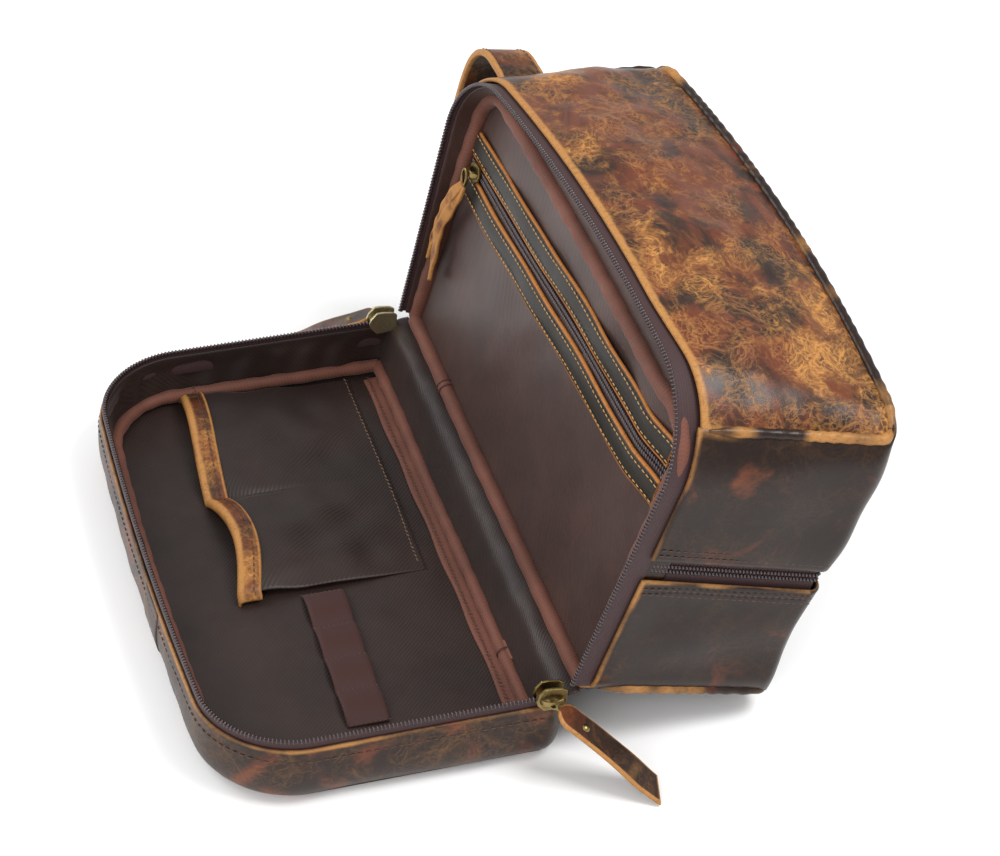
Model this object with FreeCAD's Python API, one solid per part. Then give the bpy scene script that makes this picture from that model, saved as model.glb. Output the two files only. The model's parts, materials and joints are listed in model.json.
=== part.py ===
import FreeCAD, Part
import math
import os

# Leather shaving kit bag, zipped open. A shallow organizer tray lies flat on the surface and is hinged
# along one long side to the body, which lies on its lower side panel and leans back on that panel's
# full back edge. Millimetres, +Z up, +X along the hinge towards the near end, +Y towards the body.
# The tray is drawn in the standing frame: hinge axis at y = 0, z = RIM_HEIGHT.
# The body is drawn in its own frame and then leant back: y is the depth behind the rim, z the height
# above the hinge axis. At the end every piece is shifted so that the origin is under the bag's middle.

V = FreeCAD.Vector

# ---- overall sizes
BAG_LENGTH = 250.0
BAG_WIDTH = 141.0            # rim, from the hinge to the opposite long side
RIM_HEIGHT = 34.5            # depth of the organizer tray
BODY_DEPTH = 92.0            # from the rim to the top of the closed bag
RIM_CORNER = 38.0            # rounded corners of the rim, away from the hinge
HINGE_CORNER = 8.0           # corners beside the hinge
BACK_CORNER = 15.0           # corners of the body's back face
RIM_BOW = 5.0                # how far the rim's long side bulges
BACK_BOW = 9.0               # the same at the upper back edge
LOWER_FULLNESS = 11.5        # the same at the lower back edge, which the body rests on

# ---- leather, cloth and cords
LEATHER = 1.8
FABRIC = 0.8
FOAM = 2.8
BOARD = 2.4
SEAM_CORD_R = 2.2            # leather piping in the outer seams
SEAM_ANGLE = 40.0            # where the seams cross the rounded corners
DIVIDER_CORD_R = 3.2         # cloth piping round the body's inner panel
FLOOR_CORD_R = 2.8           # cloth piping round the tray's floor
SNUG = 0.1                   # air between neighbouring layers
RUNNING = 0.4                # air between pieces that move past each other

# ---- zips
COIL_R = 1.3
TAPE = 0.8
TAPE_WIDTH = 14.0
EDGE_SETBACK = 6.0           # leather edge to rim plane
SLIDER_LENGTH = 12.0
SLIDER_WIDTH = 11.0
POCKET_SLIDER_WIDTH = 7.6
PLATE = 1.0
CHANNEL = 3.4                # room between a slider's plates
CHAIN_START = 4.0            # first tooth to hinge axis
TAPE_START = 10.0            # tape and wall lining to hinge axis
SLIDER_PLACE = 7.0           # slider's middle to hinge axis, zip fully open
MAIN_ZIP_LINE = 66.0         # height of the main zip above the hinge axis
MAIN_ZIP_GAP = 12.0          # leather edge to leather edge
MAIN_ZIP_START = 16.0        # depth at which the main zip begins on each end
MOUTH_LENGTH = 190.0         # stretch of the top that folds open
MOUTH_LOW = 10.0
MOUTH_HIGH = 122.0

# ---- inner panel with its zip pocket
DIVIDER_DEPTH = 8.6          # rim plane to the panel's cloth
DIVIDER_INSET = 8.6          # cord's centre line to the outer surface
POCKET_ZIP_LENGTH = 216.0
POCKET_ZIP_HEIGHT = 98.0     # above the hinge axis, at mid-length
POCKET_ZIP_RISE = 13.0       # the near end is this much higher than the far end
POCKET_ZIP_GAP = 9.0
POCKET_TRIM_WIDTH = 11.0
POCKET_BAG_DROP = 78.0
POCKET_SLIDER_INSET = 7.0

# ---- tray furniture
TRAY_EDGE = 5.0              # rounding between the tray's base and wall
BASE_INSET = 5.5
OVERLAP_X = 15.0             # where the wall's two ends overlap
OVERLAP_LENGTH = 18.0
POCKET_EDGES_X = (-114.0, -47.0, 14.0)
POCKET_MOUTH_Y = -104.0
POCKET_SEAM_Y = -27.0
POCKET_RISE = 6.4
POCKET_TRIM = 8.0
LOOP_START_X = 19.0
LOOP_END_X = 97.0
LOOP_WIDTH = 17.0
LOOP_Y = -72.5
LOOP_CELLS = 4
LOOP_BULGE = 2.2
WRAP_TAB_X = 70.0
WRAP_TAB_LENGTH = 17.0
WRAP_TAB_LAP = 2.0
RING_X = -70.0               # stitched ring where the inner panel's cord ends meet
RING_WALL = 0.8

# ---- pulls and handle
PULL_LENGTH = 58.0
PULL_WIDTH = 11.0
PULL_THICK = 2.4
NEAR_PULL_TURN = 55.0        # outward pulls, turned from square out: this one towards the body,
FAR_PULL_TURN = -55.0        # and this one away from it, clear of the handle
RIVET_PLACE = 16.0
RIVET_R = 2.2
EYE_R = 1.1
EYE_WALL = 0.8
PIN_R = 0.7
PIN_HEAD = 0.9
PIN_STANDOFF = 3.0           # slider's face to a pull's middle
EYE_HALF = 1.0
TANG = 1.0
TANG_LENGTH = 7.0
PULL_ROOT_GAP = 1.5
PULL_DEPTH = 3.6             # rim plane to the middle of the pocket's thong
THONG_LENGTHS = (52.0, 47.0)
THONG_WIDTH = 5.0
THONG_SPREAD = 5.0
HANDLE_WIDTH = 21.0
HANDLE_THICK = 3.0
HANDLE_DEPTH = 27.0
HANDLE_REACH = 27.0          # end panel to the middle of the strap
HANDLE_DIP = 5.0

HALF = BAG_LENGTH / 2
BIG = 4 * BAG_LENGTH
REST_DEPTH = BODY_DEPTH - SEAM_CORD_R / 2          # the lower back piping, which touches the surface
LEAN = math.degrees(
    math.asin((RIM_HEIGHT - SEAM_CORD_R) / math.hypot(REST_DEPTH, LOWER_FULLNESS))
    - math.atan2(LOWER_FULLNESS, REST_DEPTH)
)
LEANT = FreeCAD.Placement(V(0, 0, RIM_HEIGHT), FreeCAD.Rotation(V(1, 0, 0), -LEAN))
CHAIN_PLANE = LEATHER + SNUG + TAPE / 2    # outer surface to the middle of a zip's tape
COIL_DROP = RUNNING + COIL_R               # rim plane to a coil's centre line
SLIDER_FACE = CHANNEL / 2 + PLATE          # tape plane to a slider's outer face


# ---- helpers
def box(low, high):
    size = V(*high) - V(*low)
    return Part.makeBox(size.x, size.y, size.z, V(*low))


def line(a, b):
    return Part.LineSegment(a, b).toShape()


def arc(a, middle, b):
    return Part.Arc(a, middle, b).toShape()


def rod(a, b, radius):
    return Part.makeCylinder(radius, (b - a).Length, a, b - a)


def cord_along(edges, radius):
    """A round cord that follows smoothly joined edges."""
    path = Part.Wire(edges)
    first = path.OrderedEdges[0]
    at = first.FirstParameter if first.Orientation == "Forward" else first.LastParameter
    ring = Part.Wire(Part.makeCircle(radius, first.valueAt(at), first.tangentAt(at)))
    return path.makePipeShell([ring], True, False)


def without(shape, tools):
    """The shape less each tool in turn."""
    for tool in tools:
        shape = shape.cut(tool)
    return shape


def slab(wire, shift):
    return Part.Face(wire).extrude(shift)


def placed(shape, origin, along, outward):
    """A shape drawn with +X along and +Y outward, put at origin."""
    x = V(*along).normalize()
    y = V(*outward).normalize()
    z = x.cross(y)
    matrix = FreeCAD.Matrix(
        x.x, y.x, z.x, origin[0],
        x.y, y.y, z.y, origin[1],
        x.z, y.z, z.z, origin[2],
        0, 0, 0, 1,
    )
    return shape.transformed(matrix, copy=True)


def moved(shape, placement):
    return shape.transformed(placement.Matrix, copy=True)


def mix(a, b, share):
    return a + (b - a) * share


# ---- outlines
def bulged_side(place, way, half, v, r, bulge):
    """One long side and its two corners, from one short side to the other, in smoothly joined arcs.
    place(x, v) gives a point; way is +1 for the high side, -1 for the low one."""
    turn = 2 * math.atan(bulge / (half - r))

    def corner(side, angle):
        return place(side * (half - r + r * math.cos(angle)), v - way * r + way * r * math.sin(angle))

    last = math.pi / 2 - turn
    right, left = [[corner(side, a) for a in (0, last / 2, last)] for side in (1, -1)]
    long_side = arc(right[2], place(0, v + way * bulge), left[2]) if bulge > SNUG else line(
        right[2], left[2])
    return [arc(*right), long_side, arc(*left[::-1])]


def rounded(place, half, low, high, r_low, r_high, sag, bow):
    """A closed outline with rounded corners; low and high are along v."""
    return Part.Wire([
        *bulged_side(place, 1, half, high, r_high, bow),
        line(place(-half, high - r_high), place(-half, low + r_low)),
        *bulged_side(place, -1, half, low, r_low, sag)[::-1],
        line(place(half, low + r_low), place(half, high - r_high)),
    ])


def body_corner(depth):
    return mix(RIM_CORNER, BACK_CORNER, depth / BODY_DEPTH)


def body_low_corner(depth):
    return mix(HINGE_CORNER, BACK_CORNER, depth / BODY_DEPTH)


def body_section(depth, inset, least=1):
    """The body's outline at a depth, drawn in by inset; least is the smallest corner radius."""
    share = depth / BODY_DEPTH
    return rounded(
        lambda x, v: V(x, depth, v), HALF - inset, inset, BAG_WIDTH - inset,
        max(body_low_corner(depth) - inset, least), max(body_corner(depth) - inset, least),
        LOWER_FULLNESS * depth / REST_DEPTH, mix(RIM_BOW, BACK_BOW, share),
    )


def body_block(inset, start, end):
    return Part.makeLoft([body_section(start, inset), body_section(end, inset)], True, True)


def tray_section(height, inset, least=1):
    return rounded(
        lambda x, v: V(x, -v, height), HALF - inset, RUNNING + inset, BAG_WIDTH - inset,
        max(HINGE_CORNER - inset, least), max(RIM_CORNER - inset, least), 0, RIM_BOW,
    )


def tray_block(inset, bottom, top):
    """The tray's outline as a solid, its lower edge rounded off in one step."""
    sections = [tray_section(TRAY_EDGE, inset), tray_section(top, inset)]
    if bottom < TRAY_EDGE:
        sections.insert(0, tray_section(bottom, inset + TRAY_EDGE - bottom * 0.5))
    return Part.makeLoft(sections, True, True)


def tray_sheet(inset, bottom, thickness):
    return slab(tray_section(bottom, inset), V(0, 0, thickness))


# ---- leather shell of the body
def seam_wedge(upper, end):
    """The space behind the rim that the upper or lower side panel is cut from, bounded by planes
    through the corners' centres and the seams."""
    turn = math.radians(SEAM_ANGLE)
    polygons = []
    for depth in (0, end):
        r = body_corner(depth) if upper else body_low_corner(depth)
        centre_v = BAG_WIDTH - r if upper else r
        way = 1 if upper else -1
        far_x = HALF - r + BAG_LENGTH * math.cos(turn)
        far_v = centre_v + way * BAG_LENGTH * math.sin(turn)
        corners = [(r - HALF, centre_v), (-far_x, far_v), (far_x, far_v), (HALF - r, centre_v)]
        polygons.append(Part.makePolygon([V(x, depth, v) for x, v in corners + corners[:1]]))
    return Part.makeLoft(polygons, True, True)


def seam_cord(upper):
    """Leather piping: along one end, round the back edge, and along the other end."""
    turn = math.radians(SEAM_ANGLE)
    way = 1 if upper else -1
    corner_at = body_corner if upper else body_low_corner

    def seam_point(side, depth):
        r = corner_at(depth)
        v = BAG_WIDTH - r if upper else r
        return V(side * (HALF - r + r * math.cos(turn)), depth, v + way * r * math.sin(turn))

    level = seam_point(1, REST_DEPTH).z
    reach = box((-BIG, -BIG, level), (BIG, BIG, BIG)) if upper else box(
        (-BIG, -BIG, -BIG), (BIG, BIG, level))
    back = body_section(REST_DEPTH, 0).common(reach)
    cords = [cord_along(Part.sortEdges(back.Edges)[0], SEAM_CORD_R)]
    for side in (-1, 1):
        end = seam_point(side, REST_DEPTH - SEAM_CORD_R - SNUG)
        cords.append(rod(seam_point(side, EDGE_SETBACK), end, SEAM_CORD_R))
    return Part.makeCompound(cords)


def zip_gap(start):
    half_gap = MAIN_ZIP_GAP / 2
    return box((-BIG, start, MAIN_ZIP_LINE - half_gap), (BIG, BIG, MAIN_ZIP_LINE + half_gap))


def leather_shell():
    outer = body_block(0, EDGE_SETBACK, BODY_DEPTH)
    inner = body_block(LEATHER, EDGE_SETBACK / 2, BODY_DEPTH - LEATHER)
    return outer.cut(inner)


def body_leather():
    shell = leather_shell()
    upper_cord, lower_cord = seam_cord(True), seam_cord(False)
    inside_back = BODY_DEPTH - LEATHER
    upper_wedge = seam_wedge(True, inside_back)
    lower_wedge = seam_wedge(False, inside_back)
    cords = upper_cord.Solids + lower_cord.Solids
    gusset = without(shell, [upper_wedge, lower_wedge, *cords])
    window = box((-MOUTH_LENGTH / 2, inside_back - 1, MOUTH_LOW),
                 (MOUTH_LENGTH / 2, BIG, MOUTH_HIGH))
    halves = gusset.cut(window).cut(zip_gap(0))
    above = box((-BIG, -BIG, MAIN_ZIP_LINE), (BIG, BIG, BIG))
    tabs = gusset.common(zip_gap(0)).cut(zip_gap(MAIN_ZIP_START)).cut(window)
    return {
        "upper_side_panel": without(shell.common(upper_wedge), cords),
        "lower_side_panel": without(shell.common(lower_wedge), cords),
        "upper_gusset": halves.common(above),
        "lower_gusset": halves.cut(above),
        "zip_end_tabs": tabs,
        "upper_seam_piping": upper_cord,
        "lower_seam_piping": lower_cord,
    }


# ---- rim zip, one half on the body and one on the tray
def rim_path(place):
    """The three zipped sides: up one short side, along the long side, and back."""
    half, high, r = HALF - CHAIN_PLANE, BAG_WIDTH - CHAIN_PLANE, RIM_CORNER - CHAIN_PLANE
    return [
        line(place(half, CHAIN_START), place(half, high - r)),
        *bulged_side(place, 1, half, high, r, RIM_BOW),
        line(place(-half, high - r), place(-half, CHAIN_START)),
    ]


def rim_strip(outline, clear_of, outer, thickness, start, end, way):
    """A strip that stands behind the leather along the three zipped sides; outline(level, inset)."""
    outside = slab(outline(start, outer), way * (end - start))
    inside = slab(outline(start, outer + thickness), way * (end - start))
    return outside.cut(inside).cut(clear_of)


def frame_zip():
    def body_line(x, v):
        return V(x, COIL_DROP, v)

    coil = cord_along(rim_path(body_line), COIL_R)
    beside_hinge = box((-BIG, -BIG, -BIG), (BIG, BIG, TAPE_START))

    def flat(level, inset):
        wire = body_section(0, inset)
        wire.translate(V(0, level, 0))
        return wire

    tape = rim_strip(flat, beside_hinge, LEATHER + SNUG, TAPE, COIL_DROP, TAPE_WIDTH, V(0, 1, 0))
    lining = rim_strip(flat, beside_hinge, LEATHER + 2 * SNUG + TAPE, FABRIC,
                       EDGE_SETBACK + 1, TAPE_WIDTH, V(0, 1, 0))
    return {"frame_zip_tape": tape.cut(coil), "frame_zip_coil": coil, "frame_lining": lining}


def tray_zip():
    def tray_line(x, v):
        return V(x, -v, RIM_HEIGHT - COIL_DROP)

    coil = cord_along(rim_path(tray_line), COIL_R)
    beside_hinge = box((-BIG, -TAPE_START, -BIG), (BIG, BIG, BIG))
    tape = rim_strip(tray_section, beside_hinge, LEATHER + SNUG, TAPE,
                     RIM_HEIGHT - TAPE_WIDTH, RIM_HEIGHT - COIL_DROP, V(0, 0, 1))
    return {"tray_zip_tape": tape.cut(coil), "tray_zip_coil": coil}


# ---- tray
def tray_leather():
    shell = tray_block(0, 0, RIM_HEIGHT - RUNNING - 1).cut(
        tray_block(LEATHER, LEATHER, RIM_HEIGHT))
    rim_top = RIM_HEIGHT - EDGE_SETBACK
    hinge_x = HALF - 2 * HINGE_CORNER
    rim = box((-BIG, -BIG, rim_top), (BIG, -RUNNING - LEATHER - 1, BIG))
    ends = [box((-BIG, -BIG, rim_top), (-hinge_x, BIG, BIG)),
            box((hinge_x, -BIG, rim_top), (BIG, BIG, BIG))]
    shell = shell.cut(rim.multiFuse(ends))
    base = shell.common(slab(tray_section(-1, BASE_INSET), V(0, 0, LEATHER + 1)))
    wall = shell.cut(base)
    patch = box((OVERLAP_X, -BIG, 0), (OVERLAP_X + OVERLAP_LENGTH, -BAG_WIDTH / 2, BIG))
    overlap = slab(tray_section(TRAY_EDGE, -LEATHER), V(0, 0, rim_top - TRAY_EDGE)).cut(
        slab(tray_section(TRAY_EDGE, 0), V(0, 0, rim_top - TRAY_EDGE))).common(patch)
    return {"tray_base_panel": base, "tray_wall": wall, "tray_wall_overlap": overlap}


FLOOR_Z = LEATHER + SNUG + BOARD + FOAM + FABRIC    # top of the tray's floor cloth


def tray_lining():
    under = LEATHER + SNUG
    wall_inset = LEATHER + 2 * SNUG + TAPE
    cord_inset = wall_inset + FABRIC + SNUG + FLOOR_CORD_R
    cord_z = FLOOR_Z + FLOOR_CORD_R + SNUG
    lining = rim_strip(tray_section, box((-BIG, -TAPE_START, -BIG), (BIG, BIG, BIG)), wall_inset,
                       FABRIC, FLOOR_Z + SNUG, RIM_HEIGHT - EDGE_SETBACK - 1, V(0, 0, 1))
    gusset_x = HALF - 2 * HINGE_CORNER
    gusset_y = -RUNNING - LEATHER - SNUG
    floor_line = tray_section(cord_z, cord_inset, FLOOR_CORD_R + FABRIC)
    tab_z = cord_z + FLOOR_CORD_R + SNUG
    tab_y = -RUNNING - cord_inset - FLOOR_CORD_R - WRAP_TAB_LAP
    tab = box((WRAP_TAB_X, tab_y, tab_z),
              (WRAP_TAB_X + WRAP_TAB_LENGTH, gusset_y - FABRIC - SNUG, tab_z + FABRIC))
    return {
        "tray_floor_board": tray_sheet(BASE_INSET + 3, under, BOARD),
        "tray_floor_foam": tray_sheet(wall_inset + FABRIC + 1, under + BOARD, FOAM),
        "tray_floor_lining": tray_sheet(wall_inset + FABRIC / 2, FLOOR_Z - FABRIC, FABRIC),
        "tray_wall_lining": lining,
        "tray_floor_piping": cord_along(floor_line.Edges, FLOOR_CORD_R),
        "piping_wrap_tab": tab,
        "hinge_gusset_tray_half": box(
            (-gusset_x, gusset_y - FABRIC, FLOOR_Z + SNUG),
            (gusset_x, gusset_y, RIM_HEIGHT - RUNNING - 1)),
    }


def slip_pockets():
    """Two flat pockets side by side on the floor cloth, open towards the tray's long outer side.
    Cloth comes down to the floor at the seam, at both edges and along the divider."""
    top, thick = FLOOR_Z + POCKET_RISE, FABRIC
    cells = []
    for left, right in zip(POCKET_EDGES_X, POCKET_EDGES_X[1:]):
        outer = box((left, POCKET_MOUTH_Y, FLOOR_Z + SNUG), (right, POCKET_SEAM_Y, top))
        hollow = box((left + thick, POCKET_MOUTH_Y - 1, FLOOR_Z),
                     (right - thick, POCKET_SEAM_Y - thick, top - thick))
        cells.append(outer.cut(hollow))
    panel = cells[0].multiFuse(cells[1:]).removeSplitter()
    first, last = POCKET_EDGES_X[0], POCKET_EDGES_X[-1]
    trim = box((first, POCKET_MOUTH_Y, top + SNUG),
               (last, POCKET_MOUTH_Y + POCKET_TRIM, top + SNUG + LEATHER))
    return {"slip_pocket_panel": panel, "slip_pocket_trim": trim}


def elastic_loops():
    """A woven strip stitched down between low loops."""
    cell = (LOOP_END_X - LOOP_START_X) / LOOP_CELLS
    low, side = FLOOR_Z + SNUG, LOOP_Y - LOOP_WIDTH / 2

    def profile(lift):
        edges = []
        for i in range(LOOP_CELLS):
            a = V(LOOP_START_X + i * cell, side, low + lift)
            b = a + V(cell, 0, 0)
            edges.append(arc(a, (a + b) / 2 + V(0, 0, LOOP_BULGE), b))
        return edges

    ends = [V(x, side, low) for x in (LOOP_START_X, LOOP_END_X)]
    rise = V(0, 0, FABRIC)
    outline = profile(FABRIC) + [line(ends[1] + rise, ends[1])] + profile(0)[::-1] + [
        line(ends[0], ends[0] + rise)]
    return {"elastic_loop_strip": slab(Part.Wire(Part.sortEdges(outline)[0]), V(0, LOOP_WIDTH, 0))}


# ---- inner panel of the body
# From a frame with +X along the pocket's zip and z = 0 on it, to the body's frame.
POCKET_TILT = math.degrees(math.asin(POCKET_ZIP_RISE / POCKET_ZIP_LENGTH))
POCKET_FRAME = FreeCAD.Placement(
    V(0, 0, POCKET_ZIP_HEIGHT), FreeCAD.Rotation(V(0, 1, 0), -POCKET_TILT))
TRIM_FACE = DIVIDER_DEPTH - LEATHER - SNUG          # front face of the pocket zip's leather strips
POCKET_CHAIN = DIVIDER_DEPTH + FABRIC + SNUG + TAPE / 2    # depth of the pocket zip's tape
BOARD_FRONT = POCKET_CHAIN + COIL_R + SNUG


def inner_panel():
    half_zip, half_gap = POCKET_ZIP_LENGTH / 2, POCKET_ZIP_GAP / 2
    front = DIVIDER_DEPTH
    slot = moved(box((-half_zip, -BIG, -half_gap), (half_zip, BIG, half_gap)), POCKET_FRAME)
    cord_line = body_section(front, DIVIDER_INSET, DIVIDER_CORD_R + RING_WALL)
    cord = cord_along(cord_line.Edges, DIVIDER_CORD_R)
    upright = line(V(RING_X, front, -BIG), V(RING_X, front, BAG_WIDTH / 2))
    ring_middle = cord_line.distToShape(upright)[1][0][0]
    ring = Part.makeTorus(DIVIDER_CORD_R + RING_WALL / 2, RING_WALL / 2, ring_middle, V(1, 0, 0))
    inside = DIVIDER_INSET + DIVIDER_CORD_R + RING_WALL + SNUG
    lining = slab(body_section(front, inside), V(0, FABRIC, 0))
    board = slab(body_section(BOARD_FRONT, inside), V(0, BOARD, 0))
    inside_cord = slab(body_section(0, DIVIDER_INSET + DIVIDER_CORD_R + SNUG), V(0, BODY_DEPTH, 0))
    trims = {}
    for name, way in (("upper", 1), ("lower", -1)):
        low, high = sorted((way * half_gap, way * (half_gap + POCKET_TRIM_WIDTH)))
        strip = box((-half_zip, TRIM_FACE, low), (half_zip, TRIM_FACE + LEATHER, high))
        trims[f"pocket_trim_{name}"] = moved(strip, POCKET_FRAME).common(inside_cord)
    coils, tapes = [], []
    for way in (1, -1):
        z = way * COIL_DROP
        coils.append(Part.makeCylinder(
            COIL_R, POCKET_ZIP_LENGTH, V(-half_zip, POCKET_CHAIN, z), V(1, 0, 0)))
        low, high = sorted((z, way * (half_gap + POCKET_TRIM_WIDTH / 2)))
        tapes.append(box((-half_zip, POCKET_CHAIN - TAPE / 2, low),
                         (half_zip, POCKET_CHAIN + TAPE / 2, high)))
    tapes = Part.makeCompound(tapes).cut(Part.makeCompound(coils))
    bag_front = BOARD_FRONT + BOARD + SNUG
    bag_top = POCKET_ZIP_HEIGHT + POCKET_ZIP_GAP
    bag = box((-half_zip, bag_front, bag_top - POCKET_BAG_DROP),
              (half_zip, bag_front + 2 * FABRIC, bag_top))
    return {
        "divider_lining": lining.cut(slot), "divider_board": board.cut(slot),
        "divider_piping": cord, "divider_piping_ring": ring.cut(cord), "pocket_bag": bag,
        "pocket_zip_coil": moved(Part.makeCompound(coils), POCKET_FRAME),
        "pocket_zip_tape": moved(tapes, POCKET_FRAME), **trims,
    }


def hinge_strip():
    """Leather that wraps the hinge axis and runs to the lower side panel."""
    half = HALF - 2 * HINGE_CORNER
    roll = Part.makeCylinder(1, 2 * half, V(-half, 0, 0), V(1, 0, 0))
    flange = box((-half, 0, 0), (half, EDGE_SETBACK, 1))
    return {"hinge_strip": roll.fuse(flange).removeSplitter()}


# ---- main zip
def main_zip():
    """The closed stretches of chain: one on each end, and one beside the mouth at each side of it."""
    depth = BODY_DEPTH - CHAIN_PLANE
    x = HALF - CHAIN_PLANE
    tape_half = MAIN_ZIP_GAP / 2 + 3
    mouth_end = MOUTH_LENGTH / 2 + RUNNING
    coils, tapes = [], []
    for side in (-1, 1):
        for way in (-1, 1):
            z = MAIN_ZIP_LINE + way * COIL_DROP
            coils.append(rod(V(side * x, MAIN_ZIP_START + SNUG, z),
                             V(side * x, depth - COIL_R - SNUG, z), COIL_R))
            coils.append(rod(V(side * (x + COIL_R), depth, z), V(side * mouth_end, depth, z), COIL_R))
            low, high = sorted((z, MAIN_ZIP_LINE + way * tape_half))
            near, far = sorted((side * (x - TAPE / 2), side * (x + TAPE / 2)))
            on_end = box((near, MAIN_ZIP_START - 2, low), (far, depth - TAPE / 2 - SNUG, high))
            near, far = sorted((side * (x + TAPE / 2), side * mouth_end))
            on_back = box((near, depth - TAPE / 2, low), (far, depth + TAPE / 2, high))
            tapes += [on_end, on_back]
    coils = Part.makeCompound(coils)
    return {"end_zip_coils": coils, "end_zip_tapes": Part.makeCompound(tapes).cut(coils)}


def mouth_flaps():
    """The two halves of the top that fold outwards when the main zip is open."""
    half = MOUTH_LENGTH / 2 - RUNNING
    face = BODY_DEPTH - LEATHER
    depth = BODY_DEPTH - CHAIN_PLANE
    pieces = {}
    for name, way, hinge in (("upper", 1, MOUTH_HIGH), ("lower", -1, MOUTH_LOW)):
        edge = MAIN_ZIP_LINE + way * MAIN_ZIP_GAP / 2
        low, high = sorted((edge, hinge - way * RUNNING))
        coil_z = MAIN_ZIP_LINE + way * COIL_DROP
        coil = Part.makeCylinder(COIL_R, 2 * half, V(-half, depth, coil_z), V(1, 0, 0))
        tape_low, tape_high = sorted((coil_z, edge + way * 4))
        tape = box((-half, depth - TAPE / 2, tape_low), (half, depth + TAPE / 2, tape_high))
        pieces[f"mouth_flap_{name}"] = box((-half, face, low), (half, BODY_DEPTH, high))
        pieces[f"mouth_zip_{name}"] = coil.fuse(tape)
    return pieces


# ---- sliders and pulls
def slider(width):
    """Two plates and the post that parts the coils: travel along +X, outward +Y, tape plane y = 0."""
    half_l, half_w, inner = SLIDER_LENGTH / 2, width / 2, CHANNEL / 2
    nose = half_l - 3.5
    corners = [(-half_l, -half_w + 1), (nose, -half_w), (half_l, -1.6), (half_l, 1.6),
               (nose, half_w), (-half_l, half_w - 1)]
    plates = []
    for y in (inner, -inner - PLATE):
        outline = Part.makePolygon([V(x, y, z) for x, z in corners + corners[:1]])
        plates.append(slab(outline, V(0, PLATE, 0)))
    post = RUNNING - SNUG
    overlap = PLATE / 2
    parter = box((nose - 1, -inner - overlap, -post), (half_l - 0.5, inner + overlap, post))
    return plates[0].multiFuse([plates[1], parter])


def pin(centre, axis, reach):
    """The headed pin that a pull turns on: its axis through centre, reach back to the slider."""
    way = V(*axis).normalize()
    middle = V(*centre)
    clear = EYE_HALF + SNUG
    shaft = Part.makeCylinder(PIN_R, reach + clear + PIN_R, middle - way * reach, way)
    head = Part.makeCylinder(EYE_R + EYE_WALL / 2, PIN_HEAD, middle + way * clear, way)
    return shaft.fuse(head)


def link():
    """Brass eye and tang: +X along the pull, the eye's axis along Z."""
    outer = EYE_R + EYE_WALL
    eye = Part.makeCylinder(outer, 2 * EYE_HALF, V(0, 0, -EYE_HALF), V(0, 0, 1))
    hole = Part.makeCylinder(EYE_R, 4 * EYE_HALF, V(0, 0, -2 * EYE_HALF), V(0, 0, 1))
    tang = box((outer - EYE_WALL / 2, -TANG / 2, -EYE_HALF),
               (outer + TANG_LENGTH, TANG / 2, EYE_HALF))
    return eye.fuse(tang).cut(hole)


def pull_leather():
    """Tab with a rounded root and an obliquely cut end; thickness along Y, width along Z."""
    start, half = EYE_R + EYE_WALL + PULL_ROOT_GAP, PULL_WIDTH / 2
    root = start + half
    slant = PULL_LENGTH - half
    outline = Part.Wire([
        arc(V(root, 0, half), V(start, 0, 0), V(root, 0, -half)),
        line(V(root, 0, -half), V(slant, 0, -half)),
        line(V(slant, 0, -half), V(PULL_LENGTH, 0, half)),
        line(V(PULL_LENGTH, 0, half), V(root, 0, half)),
    ])
    outline.translate(V(0, -PULL_THICK / 2, 0))
    hole = Part.makeCylinder(RIVET_R / 2, 2 * PULL_THICK, V(RIVET_PLACE, -PULL_THICK, 0), V(0, 1, 0))
    return slab(outline, V(0, PULL_THICK, 0)).cut(hole)


def rivet():
    shank = Part.makeCylinder(RIVET_R / 2, PULL_THICK, V(RIVET_PLACE, -PULL_THICK / 2, 0), V(0, 1, 0))
    heads = []
    for way in (-1, 1):
        face = V(RIVET_PLACE, way * PULL_THICK / 2, 0)
        dome = Part.makeSphere(RIVET_R, face - V(0, way * RIVET_R / 2, 0))
        heads.append(dome.common(Part.makeCylinder(RIVET_R, RIVET_R, face, V(0, way, 0))))
    return shank.multiFuse(heads)


def thong():
    """A strip folded through the eye, with two tails; thickness along Y."""
    start = EYE_R + EYE_WALL + PULL_ROOT_GAP
    tails = []
    for way, length in zip((-1, 1), THONG_LENGTHS):
        tail = box((0, -PULL_THICK / 2, -THONG_WIDTH / 2), (length, PULL_THICK / 2, THONG_WIDTH / 2))
        tail.rotate(V(0, 0, 0), V(0, 1, 0), way * THONG_SPREAD)
        tail.translate(V(start, 0, 0))
        tails.append(tail)
    return tails[0].fuse(tails[1]).removeSplitter()


def pull_pieces(name, root, along, eye_axis, flat_axis):
    """Link, leather tab and rivet. flat_axis is the direction of the tab's thickness."""
    eye = placed(link(), root, along, V(*eye_axis).cross(V(*along)))
    tab = placed(pull_leather(), root, along, flat_axis)
    return {f"{name}_pull_link": eye, f"{name}_pull_tab": tab.cut(eye),
            f"{name}_pull_rivet": placed(rivet(), root, along, flat_axis)}


def outward_pull(side, turn):
    """An outward pull's axis and direction, in the standing frame. Its tip rests on the surface."""
    root = V(side * (HALF - CHAIN_PLANE + SLIDER_FACE + PIN_STANDOFF), -SLIDER_PLACE, RIM_HEIGHT)
    turn = math.radians(turn)
    drop = math.asin((RIM_HEIGHT - PULL_THICK / 2 - SNUG) / PULL_LENGTH)
    flat = V(side * math.cos(turn), math.sin(turn), 0)
    along = flat * math.cos(drop) - V(0, 0, math.sin(drop))
    normal = flat * math.sin(drop) + V(0, 0, math.cos(drop))
    return root, along, normal


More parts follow.
